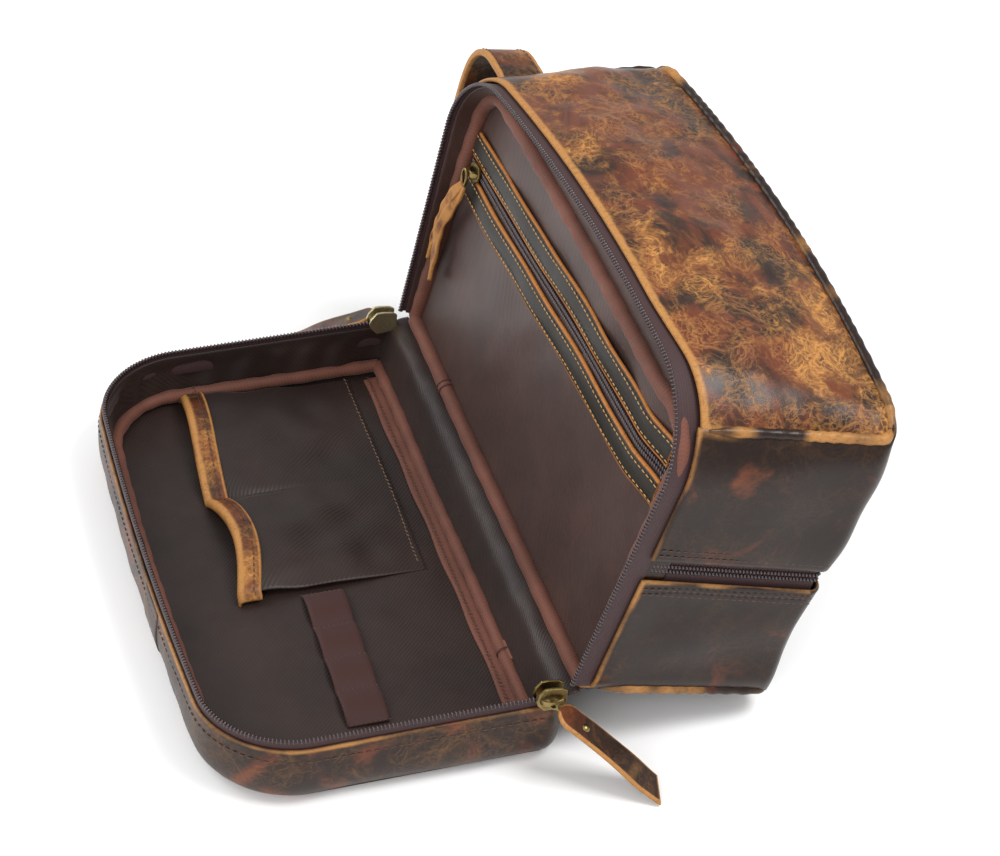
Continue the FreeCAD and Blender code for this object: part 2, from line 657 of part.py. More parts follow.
def rim_sliders():
    pieces = {}
    for name, side, turn in (("near", 1, NEAR_PULL_TURN), ("far", -1, FAR_PULL_TURN)):
        middle = V(side * (HALF - CHAIN_PLANE), -SLIDER_PLACE, RIM_HEIGHT)
        root, along, normal = outward_pull(side, turn)
        axis = along.cross(normal)
        outward = axis * (1 if axis.x * side > 0 else -1)
        reach = (PIN_STANDOFF + PLATE / 2) / abs(axis.x)
        body = placed(slider(SLIDER_WIDTH), middle, V(0, -1, 0), V(side, 0, 0))
        hold = pin(root, outward, reach)
        pieces[f"{name}_slider"] = body.fuse(hold)
        pieces.update(pull_pieces(name, root, along, axis, normal))
    return pieces


def pocket_slider_place():
    x = POCKET_SLIDER_INSET - POCKET_ZIP_LENGTH / 2
    return POCKET_FRAME.multVec(V(x, POCKET_CHAIN, 0)), POCKET_FRAME.multVec(V(x, PULL_DEPTH, 0))


def main_slider_place():
    x = -(MOUTH_LENGTH / 2 + RUNNING + SLIDER_LENGTH)
    depth = BODY_DEPTH - CHAIN_PLANE
    return V(x, depth, MAIN_ZIP_LINE), V(x, depth + SLIDER_FACE + PIN_STANDOFF, MAIN_ZIP_LINE)


def body_sliders():
    """The pocket's slider with its thong, and the main zip's slider with its tab; both pulls hang."""
    down, out = V(0, 0, -1), V(0, 1, 0)
    middle, root = pocket_slider_place()
    zip_way = POCKET_FRAME.Rotation.multVec(V(1, 0, 0))
    reach = middle.y - SLIDER_FACE - root.y + PLATE / 2
    eye = placed(link(), root, down, out.cross(down))
    middle_2, root_2 = main_slider_place()
    return {
        "pocket_slider": placed(slider(POCKET_SLIDER_WIDTH), middle, zip_way, -out).fuse(
            pin(root, -out, reach)),
        "pocket_pull_link": eye,
        "pocket_pull_thong": placed(thong(), root, down, out).cut(eye),
        "main_slider": placed(slider(SLIDER_WIDTH), middle_2, V(1, 0, 0), out).fuse(
            pin(root_2, out, PIN_STANDOFF + PLATE / 2)),
        **pull_pieces("main", root_2, down, out, out),
    }


# ---- handle
def handle():
    """A strap arched over the far end, from the upper seam to the lower one."""
    side_y = HANDLE_DEPTH - HANDLE_WIDTH / 2
    turn = math.radians(SEAM_ANGLE)
    out_x = -HALF - HANDLE_REACH
    stand = SEAM_CORD_R + HANDLE_THICK / 2 + SNUG
    bends = []
    for corner_at, v, way in ((body_corner, BAG_WIDTH, 1), (body_low_corner, 0, -1)):
        r = min(corner_at(side_y), corner_at(side_y + HANDLE_WIDTH))
        foot_x = -(HALF - r + (r + stand) * math.cos(turn))
        foot_z = v - way * r + way * (r + stand) * math.sin(turn)
        dx = foot_x - out_x
        bend_r = (dx ** 2 + HANDLE_DIP ** 2) / (2 * dx)
        centre = V(out_x + bend_r, side_y, foot_z - way * HANDLE_DIP)
        foot_turn = math.atan2(foot_z - centre.z, foot_x - centre.x)
        bends.append((centre, bend_r, foot_turn, way))

    def bend_edge(bend, grow):
        centre, r, foot_turn, way = bend
        turns = (foot_turn, (foot_turn + way * math.pi) / 2, way * math.pi)
        return [centre + V(math.cos(t), 0, math.sin(t)) * (r + grow) for t in turns]

    half = HANDLE_THICK / 2
    top_out, top_in = bend_edge(bends[0], half), bend_edge(bends[0], -half)
    low_out, low_in = bend_edge(bends[1], half), bend_edge(bends[1], -half)
    outline = Part.Wire([
        arc(*top_out), line(top_out[2], low_out[2]), arc(*low_out[::-1]), line(low_out[0], low_in[0]),
        arc(*low_in), line(low_in[2], top_in[2]), arc(*top_in[::-1]), line(top_in[0], top_out[0]),
    ])
    return {"handle_strap": slab(outline, V(0, HANDLE_WIDTH, 0))}


# ---- the whole bag
def body_pieces():
    pieces = {}
    for group in (body_leather(), frame_zip(), inner_panel(), hinge_strip(), main_zip(),
                  mouth_flaps(), body_sliders(), handle()):
        pieces.update(group)
    return {name: moved(shape, LEANT) for name, shape in pieces.items()}


def tray_pieces():
    pieces = {}
    for group in (tray_leather(), tray_zip(), tray_lining(), slip_pockets(), elastic_loops(),
                  rim_sliders()):
        pieces.update(group)
    return pieces


def middle_below(shapes):
    """The point of the surface under the middle of the whole bag."""
    whole = Part.makeCompound(shapes).optimalBoundingBox(False, False)
    return V((whole.XMin + whole.XMax) / 2, (whole.YMin + whole.YMax) / 2, whole.ZMin)


PIECES = {**body_pieces(), **tray_pieces()}
ORIGIN = middle_below(list(PIECES.values()))


def main():
    os.makedirs("parts", exist_ok=True)
    for name, shape in PIECES.items():
        shape.translate(-ORIGIN)
        shape.exportStep(f"parts/{name}.step")


main()
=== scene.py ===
import json
import math

import bmesh
import bpy
import numpy as np
from bpy.props import FloatProperty, FloatVectorProperty, IntProperty, PointerProperty
from mathutils import Matrix, Vector


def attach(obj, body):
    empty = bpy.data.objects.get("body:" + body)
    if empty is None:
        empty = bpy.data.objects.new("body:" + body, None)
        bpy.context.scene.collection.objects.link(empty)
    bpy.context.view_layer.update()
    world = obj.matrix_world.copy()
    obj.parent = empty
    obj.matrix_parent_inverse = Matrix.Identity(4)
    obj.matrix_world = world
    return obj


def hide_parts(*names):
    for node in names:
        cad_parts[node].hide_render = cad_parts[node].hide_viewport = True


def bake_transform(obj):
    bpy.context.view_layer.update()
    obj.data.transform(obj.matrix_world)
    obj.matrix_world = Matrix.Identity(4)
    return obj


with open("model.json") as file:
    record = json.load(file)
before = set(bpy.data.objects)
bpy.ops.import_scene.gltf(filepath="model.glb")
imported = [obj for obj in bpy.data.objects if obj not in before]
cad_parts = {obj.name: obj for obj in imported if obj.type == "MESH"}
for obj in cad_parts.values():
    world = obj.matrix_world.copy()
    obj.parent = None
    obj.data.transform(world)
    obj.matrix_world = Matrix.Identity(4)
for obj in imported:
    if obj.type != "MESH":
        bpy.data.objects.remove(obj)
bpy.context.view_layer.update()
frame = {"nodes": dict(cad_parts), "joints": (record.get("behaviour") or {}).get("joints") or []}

bl_info = {
    "name": "Leather Shaving Kit Bag",
    "version": (1, 0, 0),
    "blender": (4, 5, 0),
    "location": "3D View > Sidebar > Shaving Kit",
    "description": "Builds an open leather shaving kit bag, piece by piece, around its packed frame",
    "category": "Add Mesh",
}

MM = 0.001
JOINTS = {joint["name"]: joint for joint in frame["joints"]}
HINGE = np.array(JOINTS["flap_hinge"]["pos_m"]) / MM
LEAN = -JOINTS["flap_hinge"]["range_deg"][0] - 90    # the closed tray stands square to the leaning body


# ---- what a user may change
def millimetres(name, default, description):
    return FloatProperty(name=name, description=description, default=default * MM, min=0, unit="LENGTH")


def colour(name, default, description):
    return FloatVectorProperty(
        name=name, description=description, default=default, size=3, min=0, max=1, subtype="COLOR")


class KitBagSizes(bpy.types.PropertyGroup):
    """Sizes of the bag's leather, cloth and zips"""
    length: millimetres("Length", 250, "Overall length along the hinge")
    width: millimetres("Width", 141, "Rim from the hinge to the opposite long side")
    rim_height: millimetres("Tray depth", 34.5, "Depth of the organizer tray")
    depth: millimetres("Body depth", 92, "From the rim to the top of the closed bag")
    rim_corner: millimetres("Rim corner", 38, "Radius of the rim's rounded corners")
    hinge_corner: millimetres("Hinge corner", 8, "Radius of the corners beside the hinge")
    back_corner: millimetres("Back corner", 15, "Radius of the body's back corners")
    rim_bow: millimetres("Rim bow", 10.8, "How far the body's upper rim bows up at mid-length")
    tray_bow: millimetres("Tray bow", 5, "How far the tray's long side bows out at mid-length")
    crown: millimetres("Crown", 4.5, "How far the upper panel is crowned between rim and back")
    fullness: millimetres("Fullness", 10.4, "How far the lower panel's back edge hangs down")
    leather: millimetres("Leather", 1.8, "Leather thickness")
    cloth: millimetres("Cloth", 0.8, "Lining thickness")
    tooth_pitch: millimetres("Tooth pitch", 1.6, "Spacing of the zip coils' turns")
    stitch_pitch: millimetres("Stitch pitch", 3.4, "Spacing of the leather's stitches")
    panel_piping: millimetres("Panel piping", 3.4, "Radius of the piping round the body's inner panel")
    floor_piping: millimetres("Floor piping", 2.8, "Radius of the piping round the tray's floor")
    welt: millimetres("Welt", 2.2, "Radius of the leather piping in the outer seams")
    twist: FloatProperty(
        name="Twist", description="How much more the near end leans back than the middle",
        default=math.radians(3.46), subtype="ANGLE")
    seed: IntProperty(name="Seed", description="Seed of the folds and stitch wobble", default=7, min=0)


class KitBagColours(bpy.types.PropertyGroup):
    """Colours of the bag's materials"""
    gold: colour("Pull-up gold", (0.44, 0.195, 0.048), "Leather where the wax has lightened")
    rust: colour("Leather rust", (0.115, 0.027, 0.009), "Warm parts of the leather")
    dark: colour("Leather dark", (0.016, 0.0065, 0.004), "Dark parts of the leather")
    edge: colour("Cut edge", (0.38, 0.175, 0.048), "Raw and worn leather edges")
    trim: colour("Trim leather", (0.012, 0.009, 0.006), "Leather of the pocket strips")
    lining: colour("Lining", (0.015, 0.0078, 0.006), "Satin twill in the tray")
    panel: colour("Panel lining", (0.040, 0.0185, 0.0145), "Satin twill on the inner panel")
    piping: colour("Piping", (0.125, 0.043, 0.027), "Cloth piping")
    webbing: colour("Webbing", (0.032, 0.009, 0.007), "Elastic loops")
    tape: colour("Zip tape", (0.036, 0.016, 0.017), "Woven zip tape")
    coil: colour("Zip coil", (0.020, 0.011, 0.012), "Zip coils")
    brass: colour("Antique brass", (0.260, 0.190, 0.075), "Sliders, links and rivets")
    pale_brass: colour("Pale brass", (0.560, 0.490, 0.300), "Far slider")
    thread: colour("Gold thread", (0.42, 0.24, 0.075), "Stitches on the pocket strips")
    dark_thread: colour("Brown thread", (0.045, 0.020, 0.012), "Stitches on leather and lining")


class Bag:
    """The sizes in millimetres, as the piece builders use them."""

    def __init__(self, context):
        sizes = context.scene.kit_bag_sizes
        for key in KitBagSizes.__annotations__:
            value = getattr(sizes, key)
            setattr(self, key, value if key in ("twist", "seed") else value / MM)
        self.half = self.length / 2
        self.chain = self.leather + 0.5          # outer surface to the middle of a zip's tape
        self.tape = 0.8
        self.tooth_drop = 1.7                    # rim plane to a coil's centre line
        self.zip_line = 66.0                     # height of the main zip
        self.zip_gap = 5.6                       # half the gap between its leather edges
        self.mouth = 94.6                        # half the stretch of the top that folds open


# ---- places
def ramp(value, start, end):
    share = np.clip((np.asarray(value, float) - start) / (end - start), 0, 1)
    return share * share * (3 - 2 * share)


def mix(a, b, share):
    return a + (b - a) * share


def points(x, y, z):
    return np.stack(np.broadcast_arrays(np.asarray(x, float), y, z), -1)


def tray_place(x, v, z):
    """Tray coordinates (v away from the hinge) to metres in the row frame."""
    return points(HINGE[0] + x, HINGE[1] - v, z) * MM


def body_place(bag, x, u, w, inside=0.0):
    """Body coordinates (u behind the rim, w above the hinge) to metres in the row frame, with the soft
    bag's bowed sides, crown and twist. inside is 1 on the flat inner panel, which has none of them."""
    x, u, w = np.broadcast_arrays(np.asarray(x, float), u, w)
    inside = inside * (1 - 0.6 * ramp(x, 90, 119))      # the panel gives way to the twisted near end
    across = np.clip(1 - (x / bag.half) ** 2, 0, 1)
    high = np.clip(w / bag.width, 0, 1.1) ** 2
    low = np.clip(1 - w / bag.width, 0, 1) ** 2
    back = np.clip(u / bag.depth, 0, 1)
    lift = (bag.rim_bow + bag.crown * np.sin(math.pi * back)) * high
    sag = bag.fullness * back * low
    w = w + across * (lift * (1 - inside) + 1.5 * high * inside - sag)
    zip_zone = ramp(u, 45, 88) * np.exp(-(((w - bag.zip_line) / 30) ** 2)) * (
        1 - ramp(abs(x), bag.mouth + 12, bag.half))
    turn = math.radians(LEAN) + bag.twist * x / bag.half * (1 - inside) * (1 - zip_zone)
    y = u * np.cos(turn) + w * np.sin(turn)
    z = bag.rim_height - u * np.sin(turn) + w * np.cos(turn)
    return points(HINGE[0] + x, HINGE[1] + y, np.maximum(z, 0.4)) * MM


def rounded_back(bag, x, u):
    """The place across, drawn in where the ends turn into the back."""
    over = np.clip(u - (bag.depth - 8), 0, 7.6)
    return x * (1 - (8 - np.sqrt(64 - over**2)) / (bag.half - 6))


def upper_corner(bag, u):
    return mix(bag.rim_corner, bag.back_corner, np.clip(u / bag.depth, 0, 1))


def lower_corner(bag, u):
    return mix(bag.hinge_corner, bag.back_corner, np.clip(u / bag.depth, 0, 1))


def end_inset(bag, w, u):
    """How far the rounded corners draw an end in at height w."""
    high, low = upper_corner(bag, u), lower_corner(bag, u)
    over = np.clip(w - (bag.width - high), 0, high)
    under = np.clip(low - w, 0, low)
    return high - np.sqrt(high**2 - over**2) + low - np.sqrt(low**2 - under**2)


SEAM = math.radians(40)


def long_side(bag, share, u, upper, inset=0.0):
    """A point of the upper or lower panel's outline: share runs from the near seam to the far one."""
    share, u = np.broadcast_arrays(np.asarray(share, float), u)
    radius = upper_corner(bag, u) if upper else lower_corner(bag, u)
    bend = 0.14 if upper else 0.06
    side = np.where(share < 0.5, 1.0, -1.0)
    from_end = np.where(share < 0.5, share, 1 - share)
    angle = mix(SEAM, math.pi / 2, np.clip(from_end / bend, 0, 1))
    middle = np.clip((from_end - bend) / (0.5 - bend), 0, 1)
    straight = bag.half - radius
    x = side * (straight * (1 - middle) + (radius - inset) * np.cos(angle))
    rise = radius - (radius - inset) * np.sin(angle)
    return x, (bag.width - rise if upper else rise)


def rim_path(half, high, radius, start, count=420):
    """Three sides of a rim, evenly spaced: (across, up) from the near hinge corner to the far one."""
    turn = np.linspace(0, math.pi / 2, 24)
    near = np.array([[half, start]])
    corner = np.stack([half - radius + radius * np.cos(turn), high - radius + radius * np.sin(turn)], 1)
    top = np.linspace(half - radius, radius - half, 60)[1:-1]
    path = np.concatenate([near, corner, np.stack([top, np.full_like(top, high)], 1),
                           (corner * [-1, 1])[::-1], near * [-1, 1]])
    return evenly(path, count)


def evenly(path, count):
    """The path at evenly spaced points."""
    path = np.asarray(path, float)
    steps = np.r_[0, np.cumsum(np.linalg.norm(np.diff(path, axis=0), axis=1))]
    at = np.linspace(0, steps[-1], count)
    return np.stack([np.interp(at, steps, path[:, k]) for k in range(path.shape[1])], 1)


def smooth_line(knots, count):
    """A smooth line through the knots (Catmull-Rom), evenly spaced."""
    k = np.asarray(knots, float)
    k = np.concatenate([[2 * k[0] - k[1]], k, [2 * k[-1] - k[-2]]])
    out = []
    for a, b, c, d in zip(k, k[1:], k[2:], k[3:]):
        t = np.linspace(0, 1, 16, endpoint=False)[:, None]
        out.append(0.5 * (2 * b + (c - a) * t + (2 * a - 5 * b + 4 * c - d) * t**2
                          + (3 * b - a - 3 * c + d) * t**3))
    return evenly(np.concatenate([*out, k[-2:-1]]), count)


def unit(vectors):
    return vectors / np.maximum(np.linalg.norm(vectors, axis=-1, keepdims=True), 1e-12)


def folds(place, size, seed, waves=20):
    """A smooth random field from -1 to 1 or so; size is the width of its swells."""
    rng = np.random.default_rng(seed)
    ways = rng.normal(size=(waves, 3)) / np.asarray(size, float)
    return np.cos(place @ ways.T * 2.2
                  + rng.uniform(0, 2 * math.pi, waves)).sum(-1) * math.sqrt(2 / waves) / 1.6


# ---- meshes
def quads(rows, columns, wrap_rows=False, wrap_columns=False):
    """Faces of a grid and the grid place of each of their corners."""
    i, j = np.meshgrid(np.arange(rows - (not wrap_rows)), np.arange(columns - (not wrap_columns)),
                       indexing="ij")
    i, j = i.ravel(), j.ravel()
    corners = np.stack([np.stack([i + a, j + b], 1) for a, b in ((0, 0), (1, 0), (1, 1), (0, 1))], 1)
    return (corners[..., 0] % rows) * columns + corners[..., 1] % columns, corners


def make(name, vertices, faces, uv=None, worn=None, material=None, outward=True):
    """A smooth-shaded mesh piece; uv is per face corner, worn per vertex."""
    mesh = bpy.data.meshes.new(name)
    mesh.from_pydata(np.asarray(vertices).tolist(), [], [list(map(int, f)) for f in faces])
    if uv is not None:
        mesh.uv_layers.new(name="UVMap").data.foreach_set("uv", np.asarray(uv, np.float32).ravel())
    mark = mesh.attributes.new("worn", "FLOAT", "POINT")
    mark.data.foreach_set("value",
                          np.zeros(len(vertices), np.float32) if worn is None else worn.astype(np.float32))
    if outward:
        work = bmesh.new()
        work.from_mesh(mesh)
        bmesh.ops.recalc_face_normals(work, faces=work.faces)
        work.to_mesh(mesh)
        work.free()
    mesh.polygons.foreach_set("use_smooth", [True] * len(mesh.polygons))
    mesh.update()
    piece = bpy.data.objects.new(name, mesh)
    bpy.context.scene.collection.objects.link(piece)
    if material:
        mesh.materials.append(material)
    return piece


def grid_normals(grid, wrap=False):
    if wrap:
        padded = np.concatenate([grid[-1:], grid, grid[:1]])
        along = (padded[2:] - padded[:-2]) / 2
    else:
        along = np.gradient(grid, axis=0)
    return unit(np.cross(along, np.gradient(grid, axis=1)))


def shell(name, grid, thickness, material, worn=None, wrap=False, lift=None, rim=1.0):
    """A closed sheet of even thickness with rolled edges, centred on a grid of points in metres.
    lift is an extra distance along the normals, in millimetres; rim is the wear of the cut edges."""
    rows, columns = grid.shape[:2]
    normals = grid_normals(grid, wrap)
    if lift is not None:
        grid = grid + normals * (lift * MM)[..., None]
        normals = grid_normals(grid, wrap)
    half = thickness * MM / 2
    faces, corners = quads(rows, columns, wrap)
    flat = grid.reshape(-1, 3)
    push = normals.reshape(-1, 3) * half
    count = len(flat)
    u = np.r_[0, np.cumsum(np.linalg.norm(np.diff(grid[:, columns // 2], axis=0), axis=1))]
    if wrap:
        u = np.r_[u, u[-1] + np.linalg.norm(grid[0, columns // 2] - grid[-1, columns // 2])]
    v = np.r_[0, np.cumsum(np.linalg.norm(np.diff(grid[rows // 2], axis=0), axis=1))]
    uv = np.stack([u[corners[..., 0]], v[corners[..., 1]]], -1)
    if wrap:
        loops = [[(i, 0) for i in range(rows)], [(i, columns - 1) for i in range(rows)]]
    else:
        loops = [[(i, 0) for i in range(rows)] + [(rows - 1, j) for j in range(1, columns)]
                 + [(i, columns - 1) for i in range(rows - 2, -1, -1)]
                 + [(0, j) for j in range(columns - 2, 0, -1)]]
    verts, all_faces, all_uv = [flat + push, flat - push], [faces, faces[:, ::-1] + count], [uv, uv[:, ::-1]]
    edge_start = 2 * count
    for loop in loops:
        at = np.array([i * columns + j for i, j in loop])
        inner = np.array([min(max(i, 0 if wrap else 1), rows - (1 if wrap else 2)) * columns
                          + min(max(j, 1), columns - 2) for i, j in loop])
        verts.append(flat[at] + unit(flat[at] - flat[inner]) * half)
        k = np.arange(len(loop))
        n = (k + 1) % len(loop)
        ring = edge_start + k
        all_faces.append(np.stack([at[k], at[n], edge_start + n, ring], 1))
        all_faces.append(np.stack([ring, edge_start + n, at[n] + count, at[k] + count], 1))
        edge_uv = np.array([[u[i], v[j]] for i, j in loop])
        strip = np.stack([edge_uv[k], edge_uv[n], edge_uv[n], edge_uv[k]], 1)
        all_uv += [strip, strip]
        edge_start += len(loop)
    if worn is not None:
        marks = np.asarray(worn, float).ravel()
        edges = np.full(edge_start - 2 * count, rim)
        worn = np.concatenate([marks, marks, edges])
    return make(name, np.concatenate(verts), np.concatenate(all_faces), np.concatenate(all_uv), worn,
                material)


def sweep(name, path, section, facing, material, closed=False, scale=None, worn=None):
    """A solid along a path in metres; section is (across, out) in millimetres, facing the out direction."""
    path = np.asarray(path, float)
    rows, columns = len(path), len(section)
    if closed:
        padded = np.concatenate([path[-1:], path, path[:1]])
        tangent = unit(padded[2:] - padded[:-2])
    else:
        tangent = unit(np.gradient(path, axis=0))
    facing = np.broadcast_to(np.asarray(facing, float), path.shape)
    out = unit(facing - (facing * tangent).sum(1, keepdims=True) * tangent)
    across = np.cross(tangent, out)
    size = np.ones((rows, 1)) if scale is None else np.asarray(scale, float).reshape(rows, -1)
    section = np.asarray(section, float) * MM
    spread = section[None] * size[:, None, :] if size.shape[1] == 2 else section[None] * size[:, :, None]
    verts = path[:, None] + across[:, None] * spread[..., :1] + out[:, None] * spread[..., 1:]
    faces, corners = quads(rows, columns, closed, True)
    steps = np.r_[0, np.cumsum(np.linalg.norm(np.diff(path, axis=0), axis=1))]
    steps = np.r_[steps, steps[-1] + np.linalg.norm(path[0] - path[-1])]
    round_ = np.r_[section, section[:1]]
    girth = np.r_[0, np.cumsum(np.linalg.norm(np.diff(round_, axis=0), axis=1))]
    uv = np.stack([steps[corners[..., 0]], girth[corners[..., 1]]], -1)
    marks = np.zeros(rows * columns) if worn is None else np.broadcast_to(worn, (rows, columns)).ravel()
    faces, uv, verts = list(faces), [u.tolist() for u in uv], verts.reshape(-1, 3)
    if not closed:
        for row, order in ((0, 1), (rows - 1, -1)):
            ring = [row * columns + j for j in range(columns)][::order]
            middle = len(verts)
            verts = np.concatenate([verts, verts[ring].mean(0, keepdims=True)])
            marks = np.r_[marks, marks[ring].mean()]
            for a, b in zip(ring, ring[1:] + ring[:1]):
                faces.append([a, b, middle])
                uv.append([[0, 0]] * 3)
    flat_uv = [corner for face in uv for corner in face]
    return make(name, verts, faces, flat_uv, marks, material)


def circle(radius, sides=14):
    turn = np.linspace(0, 2 * math.pi, sides, endpoint=False)
    return np.stack([np.cos(turn), np.sin(turn)], 1) * radius


def strap_section(width, thickness, round_off=0.6, across=10):
    """A flat strip's section with rounded edges."""
    r = min(round_off, thickness / 2.01)
    out = []
    for cx, cy, start in ((1, -1, -90), (1, 1, 0), (-1, 1, 90), (-1, -1, 180)):
        for a in (0, 30, 60, 90):
            t = math.radians(start + a)
            out.append((cx * (width / 2 - r) + r * math.cos(t), cy * (thickness / 2 - r) + r * math.sin(t)))
        if cx == cy:
            edge = np.linspace(width / 2 - r, r - width / 2, across)[1:-1] * cx
            out += [(x, cy * thickness / 2) for x in edge]
    return out


def joined(name, pieces):
    """Several meshes with the same materials made one."""
    work = bmesh.new()
    for piece in pieces:
        work.from_mesh(piece.data)
    mesh = bpy.data.meshes.new(name)
    for material in pieces[0].data.materials:
        mesh.materials.append(material)
    work.to_mesh(mesh)
    work.free()
    for piece in pieces:
        bpy.data.objects.remove(piece)
    whole = bpy.data.objects.new(name, mesh)
    bpy.context.scene.collection.objects.link(whole)
    return whole


def belongs(piece, body, slot, *nodes):
    """Rides the piece on its body and hides the frame nodes that it stands for."""
    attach(piece, body)
    if nodes:
        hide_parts(*nodes)
    return piece


# ---- repeats, made with Geometry Nodes
def repeat_tree(kind):
    """A tree that sets one small shape again and again along a line. Its shape is a thread or a zip tooth."""
    name = f"kit_bag_{kind}"
    if name in bpy.data.node_groups:
        return bpy.data.node_groups[name]
    tree = bpy.data.node_groups.new(name, "GeometryNodeTree")
    face = tree.interface
    face.new_socket("Line", in_out="INPUT", socket_type="NodeSocketGeometry")
    for label, default in (("Spacing", 0.003), ("Along", 0.001), ("Across", 0.001), ("Height", 0.001),
                           ("Wobble", 0.0), ("Slant", 0.0)):
        face.new_socket(label, in_out="INPUT", socket_type="NodeSocketFloat").default_value = default
    face.new_socket("Seed", in_out="INPUT", socket_type="NodeSocketInt")
    face.new_socket("Material", in_out="INPUT", socket_type="NodeSocketMaterial")
    face.new_socket("Pieces", in_out="OUTPUT", socket_type="NodeSocketGeometry")

    def node(kind, settings=(), **inputs):
        made = tree.nodes.new(kind)
        for key, value in dict(settings).items():
            setattr(made, key, value)
        for key, value in inputs.items():
            socket = made.inputs[key.replace("_", " ")]
            if isinstance(value, bpy.types.NodeSocket):
                tree.links.new(value, socket)
            else:
                socket.default_value = value
        return made

    given = tree.nodes.new("NodeGroupInput").outputs
    curve = node("GeometryNodeMeshToCurve", Mesh=given["Line"])
    even = node("GeometryNodeResampleCurve", {"mode": "LENGTH"}, Curve=curve.outputs[0],
                Length=given["Spacing"])
    facing = node("GeometryNodeInputNamedAttribute", {"data_type": "FLOAT_VECTOR"}, Name="facing")
    tangent = node("GeometryNodeInputTangent")
    along = node("FunctionNodeAlignRotationToVector", {"axis": "Z"}, Vector=tangent.outputs[0])
    turned = node("FunctionNodeAlignRotationToVector", {"axis": "X", "pivot_axis": "Z"},
                  Rotation=along.outputs[0], Vector=facing.outputs[0])
    if kind == "teeth":
        shape = node("GeometryNodeMeshUVSphere", Segments=8, Rings=5, Radius=0.5)
    else:
        shape = node("GeometryNodeMeshUVSphere", Segments=6, Rings=5, Radius=0.5)
    smooth = node("GeometryNodeSetShadeSmooth", Geometry=shape.outputs[0])
    low = node("ShaderNodeMath", {"operation": "SUBTRACT"})
    low.inputs[0].default_value = 0
    tree.links.new(given["Wobble"], low.inputs[1])
    shift = node("FunctionNodeRandomValue", {"data_type": "FLOAT"}, Seed=given["Seed"])
    tree.links.new(low.outputs[0], shift.inputs[2])
    tree.links.new(given["Wobble"], shift.inputs[3])
    tilt = node("ShaderNodeMath", {"operation": "ADD"})
    tree.links.new(shift.outputs[1], tilt.inputs[0])
    tree.links.new(given["Slant"], tilt.inputs[1])
    euler = node("ShaderNodeCombineXYZ", X=tilt.outputs[0])
    spin = node("FunctionNodeEulerToRotation", Euler=euler.outputs[0])
    both = node("FunctionNodeRotateRotation", {"rotation_space": "LOCAL"})
    tree.links.new(turned.outputs[0], both.inputs[0])
    tree.links.new(spin.outputs[0], both.inputs[1])
    scale = node("ShaderNodeCombineXYZ", X=given["Height"], Y=given["Across"], Z=given["Along"])
    placed = node("GeometryNodeInstanceOnPoints", Points=even.outputs[0], Instance=smooth.outputs[0],
                  Rotation=both.outputs[0], Scale=scale.outputs[0])
    real = node("GeometryNodeRealizeInstances", Geometry=placed.outputs[0])
    painted = node("GeometryNodeSetMaterial", Geometry=real.outputs[0], Material=given["Material"])
    out = tree.nodes.new("NodeGroupOutput")
    tree.links.new(painted.outputs[0], out.inputs[0])
    return tree


def repeat_along(name, kind, lines, spacing, size, material, wobble=0.0, slant=0.0, seed=1):
    """One mesh of threads or teeth along lines; each line is (points in metres, facing vectors).
    size is (along, across, height) in millimetres."""
    verts, edges, facings = [], [], []
    for path, facing in lines:
        start = len(verts)
        verts += np.asarray(path).tolist()
        edges += [(start + k, start + k + 1) for k in range(len(path) - 1)]
        facings.append(np.broadcast_to(np.asarray(facing, float), np.shape(path)))
    mesh = bpy.data.meshes.new(name)
    mesh.from_pydata(verts, edges, [])
    mark = mesh.attributes.new("facing", "FLOAT_VECTOR", "POINT")
    mark.data.foreach_set("vector", np.concatenate(facings).astype(np.float32).ravel())
    row = bpy.data.objects.new(name, mesh)
    bpy.context.scene.collection.objects.link(row)
    tree = repeat_tree(kind)
    modifier = row.modifiers.new("repeat", "NODES")
    modifier.node_group = tree
    values = {"Spacing": spacing * MM, "Along": size[0] * MM, "Across": size[1] * MM, "Height": size[2] * MM,
              "Wobble": wobble, "Slant": slant, "Seed": seed, "Material": material}
    for item in tree.interface.items_tree:
        if item.in_out == "INPUT" and item.name in values:
            modifier[item.identifier] = values[item.name]
    graph = bpy.context.evaluated_depsgraph_get()
    result = bpy.data.meshes.new_from_object(row.evaluated_get(graph))
    row.modifiers.clear()
    row.data = result
    if not result.polygons:
        raise RuntimeError(f"{name}: the repeats came out empty")
    return row


# ---- materials
class Wire:
    """A shader socket that can be used in sums."""

    def __init__(self, paint, socket):
        self.paint, self.socket = paint, socket

    def _math(self, operation, *values):
        return self.paint.node("ShaderNodeMath", {"operation": operation}, *values)

    def __add__(self, other):
        return self._math("ADD", self, other)

    def __sub__(self, other):
        return self._math("SUBTRACT", self, other)

    def __rsub__(self, other):
        return self._math("SUBTRACT", other, self)

    def __mul__(self, other):
        return self._math("MULTIPLY", self, other)

    __radd__, __rmul__ = __add__, __mul__

    def ramp(self, low, high, start=0.0, end=1.0):
        """Smoothly from start at low to end at high."""
        return self.paint.node("ShaderNodeMapRange", {"interpolation_type": "SMOOTHSTEP"},
                               self, low, high, start, end)

    def less(self, other):
        return self._math("MINIMUM", self, other)

    def most(self, other):
        return self._math("MAXIMUM", self, other)


PREFIX = "kit_bag_"


